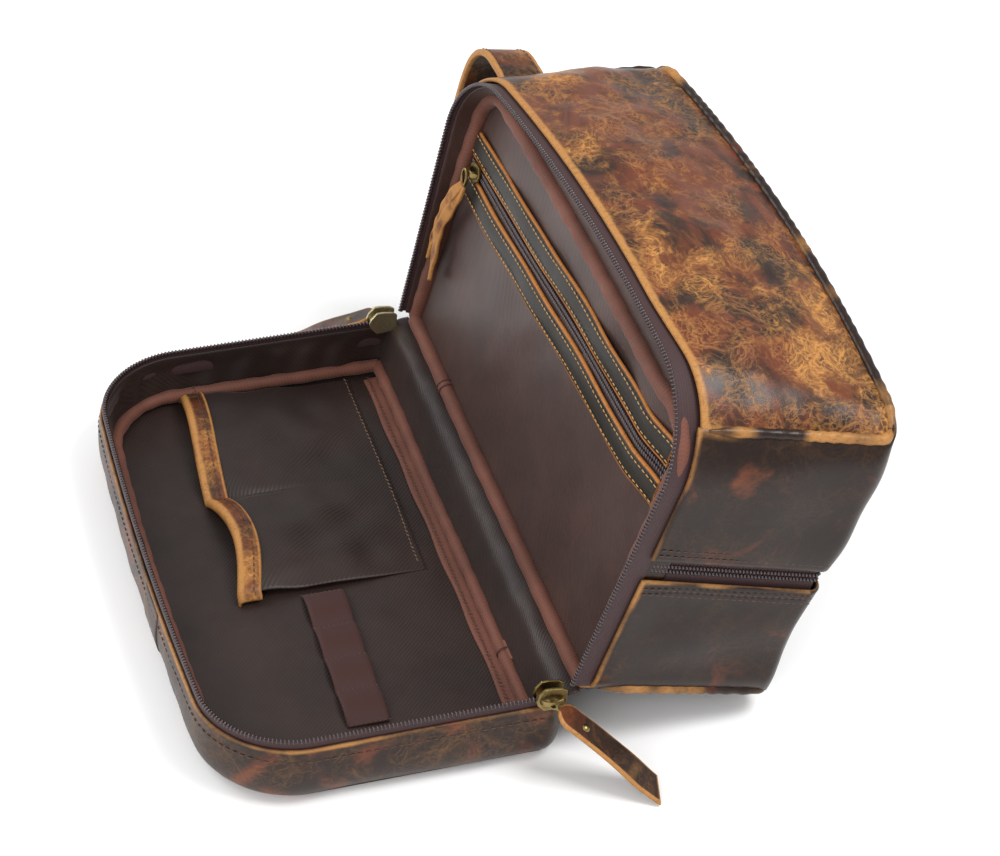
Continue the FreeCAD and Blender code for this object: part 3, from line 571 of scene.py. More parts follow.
class Paint:
    """Builds one material's nodes."""

    def __init__(self, name, metallic=0.0, **fixed):
        self.material = bpy.data.materials.new(PREFIX + name)
        self.material.use_nodes = True
        self.tree = self.material.node_tree
        self.shader = next(n for n in self.tree.nodes if n.type == "BSDF_PRINCIPLED")
        self.shader.inputs["Metallic"].default_value = metallic
        for key, value in fixed.items():
            self.shader.inputs[key.replace("_", " ")].default_value = value

    def node(self, kind, settings, *inputs, output=0, **named):
        made = self.tree.nodes.new(kind)
        for key, value in settings.items():
            setattr(made, key, value)
        for key, value in [*enumerate(inputs), *named.items()]:
            socket = made.inputs[key if isinstance(key, int) else key.replace("_", " ")]
            if isinstance(value, Wire):
                self.tree.links.new(value.socket, socket)
            else:
                socket.default_value = value
        return Wire(self, made.outputs[output])

    def place(self):
        return self.node("ShaderNodeTexCoord", {}, output=3)

    def surface(self):
        return self.node("ShaderNodeUVMap", {"uv_map": "UVMap"})

    def worn(self):
        return self.node("ShaderNodeAttribute", {"attribute_name": "worn"}, output=2)

    def noise(self, where, scale, detail=4.0, roughness=0.55, distortion=0.0):
        return self.node("ShaderNodeTexNoise", {}, Vector=where, Scale=scale, Detail=detail,
                         Roughness=roughness, Distortion=distortion)

    def shifted(self, where, amount, scale):
        """The place pushed about by noise, so that patterns run crooked."""
        push = self.node("ShaderNodeTexNoise", {}, output=1, Vector=where, Scale=scale, Detail=3.0)
        centred = self.node("ShaderNodeVectorMath", {"operation": "SUBTRACT"}, push, (0.5, 0.5, 0.5))
        scaled = self.node("ShaderNodeVectorMath", {"operation": "SCALE"}, centred, Scale=amount)
        return self.node("ShaderNodeVectorMath", {"operation": "ADD"}, where, scaled)

    def cracks(self, where, scale, width, randomness=1.0):
        """Thin lines between cells: 1 on a line, 0 away from it."""
        edge = self.node("ShaderNodeTexVoronoi", {"feature": "DISTANCE_TO_EDGE"}, Vector=where, Scale=scale,
                         Randomness=randomness)
        return edge.ramp(0.0, width, 1.0, 0.0)

    def stretched(self, where, scale, turn=(0.0, 0.0, 0.0)):
        return self.node("ShaderNodeMapping", {}, Vector=where, Scale=scale, Rotation=turn)

    def wave(self, where, scale, direction="DIAGONAL", distortion=0.0):
        return self.node("ShaderNodeTexWave", {"wave_type": "BANDS", "bands_direction": direction}, output=1,
                         Vector=where, Scale=scale, Distortion=distortion)

    def blend(self, share, a, b):
        """Colour a where share is 0 and b where it is 1."""
        made = self.tree.nodes.new("ShaderNodeMix")
        made.data_type = "RGBA"
        for socket, value in zip((made.inputs[0], made.inputs[6], made.inputs[7]), (share, a, b)):
            if isinstance(value, Wire):
                self.tree.links.new(value.socket, socket)
            else:
                socket.default_value = (*value, 1.0) if isinstance(value, (tuple, list)) else value
        return Wire(self, made.outputs[2])

    def done(self, base, roughness, height=None, strength=0.4, distance=0.0004, coat=None):
        for key, value in (("Base Color", base), ("Roughness", roughness), ("Coat Weight", coat)):
            if isinstance(value, Wire):
                self.tree.links.new(value.socket, self.shader.inputs[key])
            elif value is not None:
                self.shader.inputs[key].default_value = value
        if height is not None:
            bump = self.node("ShaderNodeBump", {}, Height=height, Strength=strength, Distance=distance)
            self.tree.links.new(bump.socket, self.shader.inputs["Normal"])
        return self.material


def tone(value, gain=1.0):
    return tuple(min(1.0, c * gain) for c in value)


def pull_up_leather(name, colours, gold=0.5, rust=0.5, gloss=0.34, veins=1.0, dark=1.0):
    """Waxed leather: dark and rusty patches, a network of golden fibres, and worn golden edges."""
    paint = Paint(name, Coat_Roughness=0.25, Specular_IOR_Level=0.26)
    here = paint.place()
    crooked = paint.shifted(here, 0.022, 38)
    hairy = paint.shifted(crooked, 0.0032, 420)
    patches = paint.noise(crooked, 21, 5.0, 0.6)
    warmth = paint.noise(here, 32, 4.0, 0.6, 0.8)
    spots = paint.noise(here, 95, 3.0, 0.6)
    cloud = paint.noise(crooked, 52, 6.0, 0.7)
    wide = paint.cracks(hairy, 62, 0.085)
    middle = paint.cracks(hairy, 150, 0.12)
    fine = paint.cracks(paint.stretched(hairy, (1.0, 1.0, 1.7), (0.5, 0.3, 0.9)), 340, 0.17)
    threads = paint.noise(paint.stretched(hairy, (1.0, 0.35, 1.0), (0.2, 0.5, 0.6)), 820, 3.0, 0.7)
    lightened = patches.ramp(0.64 - 0.22 * gold, 0.80 - 0.22 * gold)
    fibre = wide.most(middle * 0.85).most(fine * 0.7) * threads.ramp(0.36, 0.56, 0.25, 1.0)
    strands = (fibre * cloud.ramp(0.40, 0.60) * veins * (lightened * 0.75 + 0.45)).less(1.0)
    warm = warmth.ramp(0.56 - 0.20 * rust, 0.76 - 0.20 * rust)
    base = paint.blend(warm, tone(colours.dark, dark), colours.rust)
    base = paint.blend(lightened * cloud.ramp(0.32, 0.62) * 0.62, base, tone(colours.gold, 0.55))
    base = paint.blend(spots.ramp(0.56, 0.70) * 0.55, base, tone(colours.dark, dark))
    base = paint.blend(strands, base, colours.gold)
    worn = (paint.worn() * 1.25 + spots * 0.5 - 0.30).ramp(0.25, 0.95)
    base = paint.blend(worn * threads.ramp(0.25, 0.55, 0.55, 1.0), base, colours.edge)
    grain = paint.noise(here, 1500, 2.0, 0.6)
    height = grain * 0.35 + spots * 0.5 - strands * 0.6 + cloud * 0.5
    roughness = strands * 0.22 + gloss + spots * 0.12 + worn * 0.2
    return paint.done(base, roughness, height, 0.35, 0.0005, coat=(1 - strands) * 0.10)


def twill(name, base, gain=1.6, pitch=0.9, rough=0.52, sheen=0.08, on_surface=False, turn=0.0, tilt=0.35):
    """Satin twill: fine diagonal ribs, a soft sheen and slow changes of tone."""
    paint = Paint(name, Sheen_Weight=sheen, Sheen_Roughness=0.4, Specular_IOR_Level=0.35)
    where = paint.surface() if on_surface else paint.place()
    scale = 1 / (pitch * MM) / 6.283 * 2
    ribs = paint.wave(paint.stretched(where, (1.0, 1.0, 1.0), (0.0, 0.0, turn)), scale, distortion=0.25)
    threads = paint.noise(paint.stretched(where, (1.0, tilt, 1.0)), 1500, 2.0, 0.6)
    slow = paint.noise(paint.place(), 26, 3.0, 0.6)
    share = (slow.ramp(0.35, 0.68) * 0.55 + ribs * 0.25 + threads * 0.2).less(1.0)
    shade = paint.blend(share, tone(base, 0.72), tone(base, gain))
    return paint.done(shade, rough - slow * 0.12, ribs * 0.7 + threads * 0.4, 0.35, 0.00025)


def woven(name, base, gain=1.7, rough=0.6):
    """A plain narrow weave, as on zip tape and webbing; it follows the piece's own surface."""
    paint = Paint(name, Sheen_Weight=0.06, Sheen_Roughness=0.5, Specular_IOR_Level=0.3)
    where = paint.surface()
    along = paint.wave(where, 560, "X", 0.4)
    across = paint.wave(where, 560, "Y", 0.4)
    flecks = paint.noise(paint.place(), 900, 3.0, 0.6)
    shade = paint.blend((along * 0.35 + across * 0.35 + flecks * 0.3).less(1.0), tone(base, 0.6),
                        tone(base, gain))
    return paint.done(shade, rough, along * 0.5 + across * 0.5, 0.3, 0.0002)


def plain_dye(name, base, rough, gain=1.5, fleck=700, metallic=0.0, coat=0.0):
    """Thread, coil and foam: one dye with flecks and a slightly uneven gloss."""
    paint = Paint(name, metallic)
    flecks = paint.noise(paint.place(), fleck, 3.0, 0.6)
    slow = paint.noise(paint.place(), 60, 2.0)
    shade = paint.blend(flecks * 0.7 + slow * 0.3, tone(base, 0.65), tone(base, gain))
    return paint.done(shade, rough + slow * 0.12, flecks, 0.12, 0.0001, coat=coat)


def old_brass(name, base, rough=0.32):
    """Brass with dark patina in patches and fine scratches."""
    paint = Paint(name, 1.0)
    here = paint.place()
    patina = paint.noise(here, 260, 5.0, 0.65).ramp(0.42, 0.70)
    scratches = paint.noise(paint.stretched(here, (1.0, 1.0, 0.08), (0.4, 0.2, 0.3)), 2600, 2.0, 0.6)
    shade = paint.blend(patina * 0.7, base, tone(base, 0.22))
    return paint.done(shade, rough + patina * 0.25, scratches * 0.5 + patina * 0.3, 0.15, 0.0001)


def finishes():
    return {m.name.removeprefix(PREFIX): m for m in bpy.data.materials if m.name.startswith(PREFIX)}


def materials(context):
    """Every finish of the bag, made once."""
    if PREFIX + "aged_leather" in bpy.data.materials:
        return finishes()
    c = context.scene.kit_bag_colours
    c = type("Colours", (), {key: tuple(getattr(c, key)) for key in KitBagColours.__annotations__})
    pull_up_leather("aged_leather", c, gold=0.62, rust=0.85, gloss=0.28, veins=1.2)
    pull_up_leather("end_leather", c, gold=0.0, rust=0.02, gloss=0.27, veins=0.10, dark=0.75)
    pull_up_leather("tray_leather", c, gold=0.12, rust=0.42, gloss=0.32, veins=0.34, dark=0.95)
    pull_up_leather("tan_leather", c, gold=1.0, rust=0.9, gloss=0.42, veins=0.8)
    pull_up_leather("strap_leather", c, gold=0.62, rust=0.6, gloss=0.36, veins=0.7)
    pull_up_leather("pull_leather", c, gold=0.05, rust=0.30, gloss=0.34, veins=0.3)
    strip = type("Strip", (), {"dark": c.trim, "rust": tone(c.trim, 1.3), "gold": tone(c.trim, 2.6),
                               "edge": (0.42, 0.155, 0.030)})
    pull_up_leather("trim_leather", strip, gold=0.2, rust=0.3, gloss=0.42, veins=0.3)
    twill("lining_twill", c.lining, 1.9, 1.0)
    twill("panel_twill", c.panel, 1.45, 1.0, rough=0.46, sheen=0.1)
    twill("piping_twill", c.piping, 1.35, 1.1, rough=0.74, sheen=0.1, on_surface=True, turn=0.6)
    woven("elastic_webbing", c.webbing)
    woven("zip_tape", c.tape)
    plain_dye("zip_coil", c.coil, 0.24, 2.6, coat=0.4)
    plain_dye("gold_thread", c.thread, 0.62)
    plain_dye("tan_thread", (0.16, 0.085, 0.05), 0.65)
    plain_dye("brown_thread", c.dark_thread, 0.6, 2.2)
    plain_dye("stiffener", (0.20, 0.17, 0.12), 0.8)
    old_brass("antique_brass", c.brass)
    old_brass("pale_brass", c.pale_brass, 0.4)
    return finishes()


# ---- pieces
def edge_wear(values, width):
    """1 at an edge, falling to 0 at that distance in millimetres."""
    return 1 - ramp(values, 0, width)


def front_edge(bag, x):
    """Where the leather's front edge lies behind the rim: further back at the near end."""
    return 6.0 + 5.0 * ramp(x, 55, bag.half - 8)


class KITBAG_OT_side_panels(bpy.types.Operator):
    """The crowned upper panel and the lower panel that the bag rests on"""
    bl_idname = "kit_bag.side_panels"
    bl_label = "Side Panels"

    def execute(self, context):
        bag, paint = Bag(context), materials(context)
        share, depth = np.meshgrid(np.linspace(0, 1, 150), np.linspace(0, 1, 62), indexing="ij")
        for name, upper, node in (("upper_panel", True, "upper_side_panel"),
                                  ("lower_panel", False, "lower_side_panel")):
            u = depth * bag.depth
            x, w = long_side(bag, share, u, upper, bag.leather / 2)
            start = front_edge(bag, x) if upper else 6.0
            u = mix(start, bag.depth - bag.leather / 2 - 0.3, depth)
            x, w = long_side(bag, share, u, upper, bag.leather / 2)
            x = rounded_back(bag, x, u)
            grid = body_place(bag, x, u, w)
            inner = 4 * depth * (1 - depth)
            swell = (folds(grid, 0.030, bag.seed) * 1.3 * inner
                     + folds(grid, 0.011, bag.seed + 1) * 0.35 * inner)
            ends = np.minimum(share, 1 - share) * 260
            wear = np.maximum(edge_wear(u - start, 4.5), 0.75 * edge_wear(bag.depth - u, 5))
            wear = np.maximum(wear, 0.8 * edge_wear(ends, 5))
            panel = shell(name, grid, bag.leather, paint["aged_leather" if upper else "end_leather"], wear,
                          lift=swell if upper else 0.4 * swell, rim=1.0 if upper else 0.3)
            belongs(panel, "bag_body", "aged_leather" if upper else "dark_leather", node)
        return {"FINISHED"}


def end_strip(bag, along, height, upper):
    """The gusset strip: along runs 0..1 up the near end, 1..2 round the back corner, 2.. along the back.
    height is 0 at the zip and 1 at the seam. Returns body coordinates."""
    fillet = 7.0
    turn = np.clip(along - 1, 0, 1) * math.pi / 2
    reach = np.clip(along - 2, 0, None)
    inset = bag.leather / 2
    u = np.where(along < 1, mix(9.5, bag.depth - fillet, np.clip(along, 0, 1)),
                 bag.depth - fillet + (fillet - inset) * np.sin(turn))
    radius = upper_corner(bag, u) if upper else lower_corner(bag, u)
    back = np.sin(turn)
    x_flat = bag.half - fillet + (fillet - inset) * np.cos(turn) - reach
    over = np.clip(x_flat - (bag.half - radius), 0, radius - 0.01)
    rise_at_end = radius - radius * math.sin(SEAM)
    rise_at_back = radius - np.sqrt(radius**2 - over**2)
    rise = mix(rise_at_end, np.maximum(rise_at_back, 0.9), back)
    if upper:
        w = mix(bag.zip_line + bag.zip_gap, bag.width - rise, height)
    else:
        w = mix(bag.zip_line - bag.zip_gap, rise, height)
    x = np.where(along < 1, bag.half - inset, x_flat) - end_inset(bag, w, u) * (1 - back)
    return x, u, w


class KITBAG_OT_end_leather(bpy.types.Operator):
    """The leather of both ends and of the folding top, split by the main zip"""
    bl_idname = "kit_bag.end_leather"
    bl_label = "End Leather"

    def execute(self, context):
        bag, paint = Bag(context), materials(context)
        turns = np.r_[np.linspace(0, 1, 46), np.linspace(1, 2, 9)[1:],
                      2 + np.linspace(0, bag.half - 7 - bag.mouth, 10)[1:]]
        for upper in (True, False):
            along, height = np.meshgrid(turns, np.linspace(0, 1, 40), indexing="ij")
            ends = []
            for side in (1, -1):
                x, u, w = end_strip(bag, along, height, upper)
                grid = body_place(bag, side * x, u, w)
                inner = np.clip(4 * height * (1 - height), 0, 1) * ramp(u, 10, 30)
                inner = inner * (1 - ramp(along, 1.6, 2.2))
                swell = inner * (folds(grid, 0.026, bag.seed + 3) * 1.5 + 1.2) * side
                patchy = 0.62 + 0.38 * folds(grid, 0.014, bag.seed + 4)
                wear = np.maximum(0.8 * edge_wear(u - 9.5, 3.0), (0.25 if upper else 0.75)
                                  * edge_wear(height * 62, 2.6))
                wear = np.maximum(wear, 0.5 * edge_wear((1 - height) * 62, 7.0)
                                  * (1 if upper else 0.5)) * patchy
                wear = np.where(along > 1, 0.3 * wear, wear)
                ends.append(shell("end", grid, bag.leather, paint["end_leather"], wear, lift=swell, rim=0.5))
            word = "upper" if upper else "lower"
            belongs(joined(f"end_leather_{word}", ends), "bag_body", "dark_leather", f"{word}_gusset")
            self.top_half(bag, paint, upper, word)
        tabs = []
        for side in (1, -1):
            u, w = np.meshgrid(np.linspace(9.5, 19, 8),
                               np.linspace(-bag.zip_gap - 1.5, bag.zip_gap + 1.5, 8),
                               indexing="ij")
            grid = body_place(bag, side * (bag.half - bag.leather * 1.5), u, bag.zip_line + w)
            tabs.append(shell("tab", grid, 1.2, paint["end_leather"], 0.4 * edge_wear(u - 9.5, 2.5),
                              rim=0.2))
        belongs(joined("zip_tabs", tabs), "bag_body", "dark_leather", "zip_end_tabs")
        return {"FINISHED"}

    def top_half(self, bag, paint, upper, word):
        """One half of the top, baked in place where it lies."""
        across, height = np.meshgrid(np.linspace(-bag.mouth, bag.mouth, 90), np.linspace(0, 1, 36),
                                     indexing="ij")
        start = bag.zip_line + (bag.zip_gap if upper else -bag.zip_gap)
        w = mix(start, bag.width - 0.9 if upper else 0.9, height)
        grid = body_place(bag, across, bag.depth - bag.leather / 2, w)
        inner = np.clip(4 * height * (1 - height), 0, 1)
        swell = folds(grid, 0.03, bag.seed + 5) * 0.8 * inner
        flap = shell(f"mouth_leather_{word}", grid, bag.leather, paint["end_leather"],
                     0.4 * edge_wear(height * 60, 3), lift=swell, rim=0.4)
        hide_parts(f"mouth_flap_{word}")
        way = Vector(body_place(bag, 0, bag.depth, 90) - body_place(bag, 0, bag.depth, 40)).normalized()
        way *= 1 if upper else -1
        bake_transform(flap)


class KITBAG_OT_seam_welts(bpy.types.Operator):
    """Leather piping in the outer seams: up each end and along the back"""
    bl_idname = "kit_bag.seam_welts"
    bl_label = "Seam Welts"

    def execute(self, context):
        bag, paint = Bag(context), materials(context)
        for upper, word in ((True, "upper"), (False, "lower")):
            share = np.linspace(0, 1, 190)
            back_u = np.full_like(share, bag.depth - 1.1)
            x, w = long_side(bag, share, back_u, upper)
            u = np.linspace(13, bag.depth - 1.1, 60)[:-1]
            end_x, end_w = long_side(bag, np.zeros_like(u), u, upper)
            path = np.concatenate([
                np.stack([end_x, u, end_w], 1), np.stack([x, back_u, w], 1),
                np.stack([-end_x, u, end_w], 1)[::-1]])
            path[:, 0] = rounded_back(bag, path[:, 0], path[:, 1])
            path = evenly(smooth_line(path[::4], 420), 420)
            place = body_place(bag, path[:, 0], path[:, 1], path[:, 2])
            if not upper:
                place[:, 2] = np.maximum(place[:, 2], (bag.welt + 0.1) * MM)
            count = np.arange(420)
            taper = np.minimum(1, 0.25 + np.minimum(count, 419 - count) / 14)
            wobble = 1 + 0.07 * np.sin(count * 0.9 + 2 * np.sin(count * 0.13))
            welt = sweep("welt", place, circle(bag.welt, 14), (0, 0, 1), paint["end_leather"],
                         scale=taper * wobble, worn=np.clip(
                             0.24 + 0.36 * folds(place, 0.016, bag.seed + 6) + 0.18 * (place[:, 0] > 0.11),
                                                            0, 1)[:, None])
            belongs(welt, "bag_body", "dark_leather", f"{word}_seam_piping").name = f"{word}_seam_welt"
        return {"FINISHED"}


def rim_line(bag):
    """The rim's chain line: across, up, and its outward direction in that plane."""
    path = rim_path(bag.half - bag.chain, bag.width - bag.chain, bag.rim_corner - bag.chain, 4.0)
    way = np.gradient(path, axis=0)
    return path, unit(np.stack([way[:, 1], -way[:, 0]], 1))


class KITBAG_OT_rim_zip(bpy.types.Operator):
    """The zip round three sides of the rim: tapes, coils, and the cloth behind the body's tape"""
    bl_idname = "kit_bag.rim_zip"
    bl_label = "Rim Zip"

    def execute(self, context):
        bag, paint = Bag(context), materials(context)
        path, out = rim_line(bag)
        self.body_side(bag, paint, path, out)
        self.tray_side(bag, paint, path, out)
        return {"FINISHED"}

    def body_side(self, bag, paint, path, out):
        x, w = path.T
        facing_out = unit(body_place(bag, x + out[:, 0], 1.7, w + out[:, 1]) - body_place(bag, x, 1.7, w))
        lines = [(body_place(bag, x, bag.tooth_drop - 0.6, w), facing_out)]
        teeth = repeat_along("frame_teeth", "teeth", lines, bag.tooth_pitch, (1.15, 2.5, 2.2),
                             paint["zip_coil"],
                             0.06, 0.0, bag.seed)
        belongs(teeth, "bag_body", "zip_coil", "frame_zip_coil")
        u = np.array([0.9, 1.6, 3.0, 5.0, 7.5, 10.0, 13.0, 16.0])
        depth = np.array([0.2, 0.25, 0.1, 0.0, -0.2, -0.6, -0.9, -1.0])
        stretch = ramp(x, 60, 118)[:, None] * 2.5
        grid = body_place(bag, x[:, None] + out[:, :1] * depth, u[None] + stretch * (u > 4), w[:, None]
                          + out[:, 1:] * depth)
        tape = shell("frame_tape", grid, bag.tape, paint["zip_tape"], 0 * grid[..., 0])
        belongs(tape, "bag_body", "zip_tape", "frame_zip_tape")
        # cloth from the tape down to the inner panel's piping
        t = np.linspace(0, 1, 9)
        inner_x, inner_w = panel_outline(len(path), 0.5)
        start_x, start_w = (path - out * 1.2).T
        gx = mix(start_x[:, None], inner_x[:, None], t**1.3)
        gw = mix(start_w[:, None], inner_w[:, None], t**1.3)
        gu = mix(3.5, 10.5, t)[None] + 0 * gx
        facing = shell("frame_facing", body_place(bag, gx, gu, gw, np.broadcast_to(ramp(t, 0, 1), gx.shape)),
                       bag.cloth,
                       paint["panel_twill"])
        belongs(facing, "bag_body", "lining_twill", "frame_lining")

    def tray_side(self, bag, paint, path, out):
        x, v = path.T
        v = v + bow_of(bag, x) * np.clip(v / bag.width, 0, 1) ** 2
        top = bag.rim_height
        facing = points(out[:, 0], -out[:, 1], 0 * out[:, 0])
        teeth = repeat_along("tray_teeth", "teeth", [(tray_place(x, v, top - bag.tooth_drop + 0.6), facing)],
                             bag.tooth_pitch, (1.15, 2.5, 2.2), paint["zip_coil"], 0.06, 0.0, bag.seed + 1)
        belongs(teeth, "organizer_flap", "zip_coil", "tray_zip_coil")
        z = top - np.array([0.9, 1.6, 3.0, 5.0, 7.5, 10.0, 13.0])
        depth = np.array([0.2, 0.25, 0.1, 0.0, -0.2, -0.5, -0.8])
        grid = tray_place(x[:, None] + out[:, :1] * depth, v[:, None] + out[:, 1:] * depth, z[None])
        tape = shell("tray_tape", grid, bag.tape, paint["zip_tape"])
        belongs(tape, "organizer_flap", "zip_tape", "tray_zip_tape")


def bow_of(bag, x):
    return bag.tray_bow * np.clip(1 - (x / bag.half) ** 2, 0, 1)


def panel_outline(count, grow=0.0):
    """The inner panel's edge along the three zipped sides, from the near hinge corner to the far one."""
    half, high, radius = 118.4 + grow, 129.5 + grow, 20.0
    return rim_path(half, high, radius, 3.5, count).T


class KITBAG_OT_inner_panel(bpy.types.Operator):
    """The body's inner panel: satin lining, cloth piping with its stitched ring, and the pocket's bag"""
    bl_idname = "kit_bag.inner_panel"
    bl_label = "Inner Panel"

    def execute(self, context):
        bag, paint = Bag(context), materials(context)
        half, low, high = 118.6, 3.6, 130.0
        x, w = np.meshgrid(np.linspace(-half, half, 120), np.linspace(low, high, 70), indexing="ij")
        corner = 16.0
        over = np.clip(abs(x) - (half - corner), 0, corner) / corner
        limit = high - corner * (1 - np.sqrt(1 - over**2 * 0.98))
        w = low + (w - low) * (limit - low) / (high - low)
        zip_mid = pocket_line(x)
        away = abs(w - zip_mid)
        open_slot = away < 3.4
        sag = (folds(points(x, w, 0 * x), 40, bag.seed + 8) * 0.8
               + folds(points(x, w, 0 * x), 17, bag.seed + 9) * 0.25)
        inner = ramp(np.minimum.reduce([x + half, half - x, w - low, limit - w]), 0, 14)
        u = 8.9 - sag * inner * 1.1 + np.where(open_slot, 0.9, 0) * inner
        grid = body_place(bag, x, u, w, 1.0)
        cloth = shell("panel_cloth", grid, bag.cloth, paint["panel_twill"])
        belongs(cloth, "bag_body", "lining_twill", "divider_lining")
        self.piping(bag, paint)
        u = np.linspace(-0.108, 0.108, 40) / MM
        x, w = np.meshgrid(u, np.linspace(30, 106, 26), indexing="ij")
        hang = 17.6 + 1.2 * folds(points(x, w, 0 * x), 30, bag.seed + 4) * ramp(106 - w, 0, 20)
        bag_cloth = shell("pocket_bag_cloth", body_place(bag, x, hang, w, 1.0), 1.4, paint["lining_twill"])
        belongs(bag_cloth, "bag_body", "lining_twill", "pocket_bag")
        return {"FINISHED"}

    def piping(self, bag, paint):
        x, w = panel_outline(300, 0.6)
        base_x = np.linspace(-117.6, 117.6, 150)
        base_w = 2.6 + 0.8 * np.sin(base_x / 21) * 0.3
        r = bag.panel_piping
        three_u = 7.6 + 0 * x
        path = body_place(bag, x, three_u, w, 0.85)
        wrinkle = 1 + 0.05 * np.sin(np.arange(300) * 0.8) + 0.04 * np.sin(np.arange(300) * 0.31 + 1)
        round_ = sweep("piping_a", path, circle(r, 16), (0, -1, 0.2), paint["piping_twill"], scale=wrinkle)
        low = body_place(bag, base_x, 7.0, base_w, 0.85)
        grow = 1 + 0.04 * np.sin(np.arange(150) * 0.5) + 0.10 * np.exp(-((base_x + 68) / 2.4) ** 2)
        straight = sweep("piping_b", low, circle(r * 0.98, 16), (0, -1, 0.2), paint["piping_twill"],
                         scale=grow)
        tails = []
        for at in (-70, -66.5):
            ring = low[np.argmin(abs(base_x - at))]
            turn = np.linspace(0, 2 * math.pi, 28, endpoint=False)
            loop = ring + np.stack([0 * turn + 0.3 * np.sin(turn) * MM, np.cos(turn) * (r + 0.45) * MM,
                                    np.sin(turn) * (r + 0.45) * MM], 1)
            tails.append(sweep("ring", loop, circle(0.33, 6), (1, 0, 0), paint["brown_thread"], closed=True))
        belongs(joined("panel_piping", [round_, straight]), "bag_body", "piping_twill", "divider_piping")
        belongs(joined("panel_piping_rings", tails), "bag_body", "piping_twill", "divider_piping_ring")


def pocket_line(x):
    """The height of the pocket's zip on the inner panel, with the soft wave of the real strip."""
    return 98.2 + 0.0604 * np.asarray(x, float) + 0.5 * np.sin(np.asarray(x, float) / 23 + 0.6)


class KITBAG_OT_pocket_zip(bpy.types.Operator):
    """The zip pocket's leather strips, tape, coil and stitches"""
    bl_idname = "kit_bag.pocket_zip"
    bl_label = "Pocket Zip"

    def execute(self, context):
        bag, paint = Bag(context), materials(context)
        x = np.linspace(-113.5, 113.5, 190)
        line = pocket_line(x)
        strips, gold_rows = [], []
        for way in (1, -1):
            across = np.linspace(4.2, 15.2, 9)
            wave = 0.35 * np.sin(x / 11 + way)[:, None]
            w = line[:, None] + way * across + wave
            lift = 7.5 - 0.35 * np.sin(x / 9.0 + 2 * way)[:, None] * ramp(across, 4, 8) - 0.5 * np.sin(
                (across - 4.2) / 11 * math.pi)
            grid = body_place(bag, x[:, None], lift, w, 1.0)
            worn = 1.0 * edge_wear(across - 4.2, 1.7) + 0.75 * edge_wear(15.2 - across, 0.9) + 0 * w
            strips.append(shell("strip", grid, 1.5, paint["trim_leather"], np.clip(worn, 0, 1)))
            for row in (6.3, 13.5):
                at = line + way * row + wave[:, 0]
                place = body_place(bag, x, lift[:, 0] - 1.05 - 0.25, at, 1.0)
                gold_rows.append((place, unit(body_place(bag, x, 0, at, 1.0)
                                              - body_place(bag, x, 6, at, 1.0))))
        belongs(joined("pocket_strips", strips), "bag_body", "trim_leather", "pocket_trim_upper",
                "pocket_trim_lower")
        threads = repeat_along("pocket_threads", "threads", gold_rows, 3.1, (2.3, 0.62, 0.5),
                               paint["gold_thread"],
                               0.0, 0.0, bag.seed)
        belongs(threads, "bag_body", "trim_leather")
        u = 9.0 + 0 * line[:, None]
        tape = shell("pocket_tape",
                     body_place(bag, x[:, None], u, line[:, None] + np.linspace(-6, 6, 6), 1.0),
                     bag.tape, paint["zip_tape"])
        belongs(tape, "bag_body", "zip_tape", "pocket_zip_tape")
        facing = unit(body_place(bag, x, 0, line, 1.0) - body_place(bag, x, 6, line, 1.0))
        chain = [(body_place(bag, x, 8.0, line + side * 1.15, 1.0), facing) for side in (-1, 1)]
        teeth = repeat_along("pocket_teeth", "teeth", chain, bag.tooth_pitch, (1.2, 2.5, 1.9),
                             paint["zip_coil"],
                             0.03, 0.35, bag.seed)
        belongs(teeth, "bag_body", "zip_coil", "pocket_zip_coil")
        return {"FINISHED"}


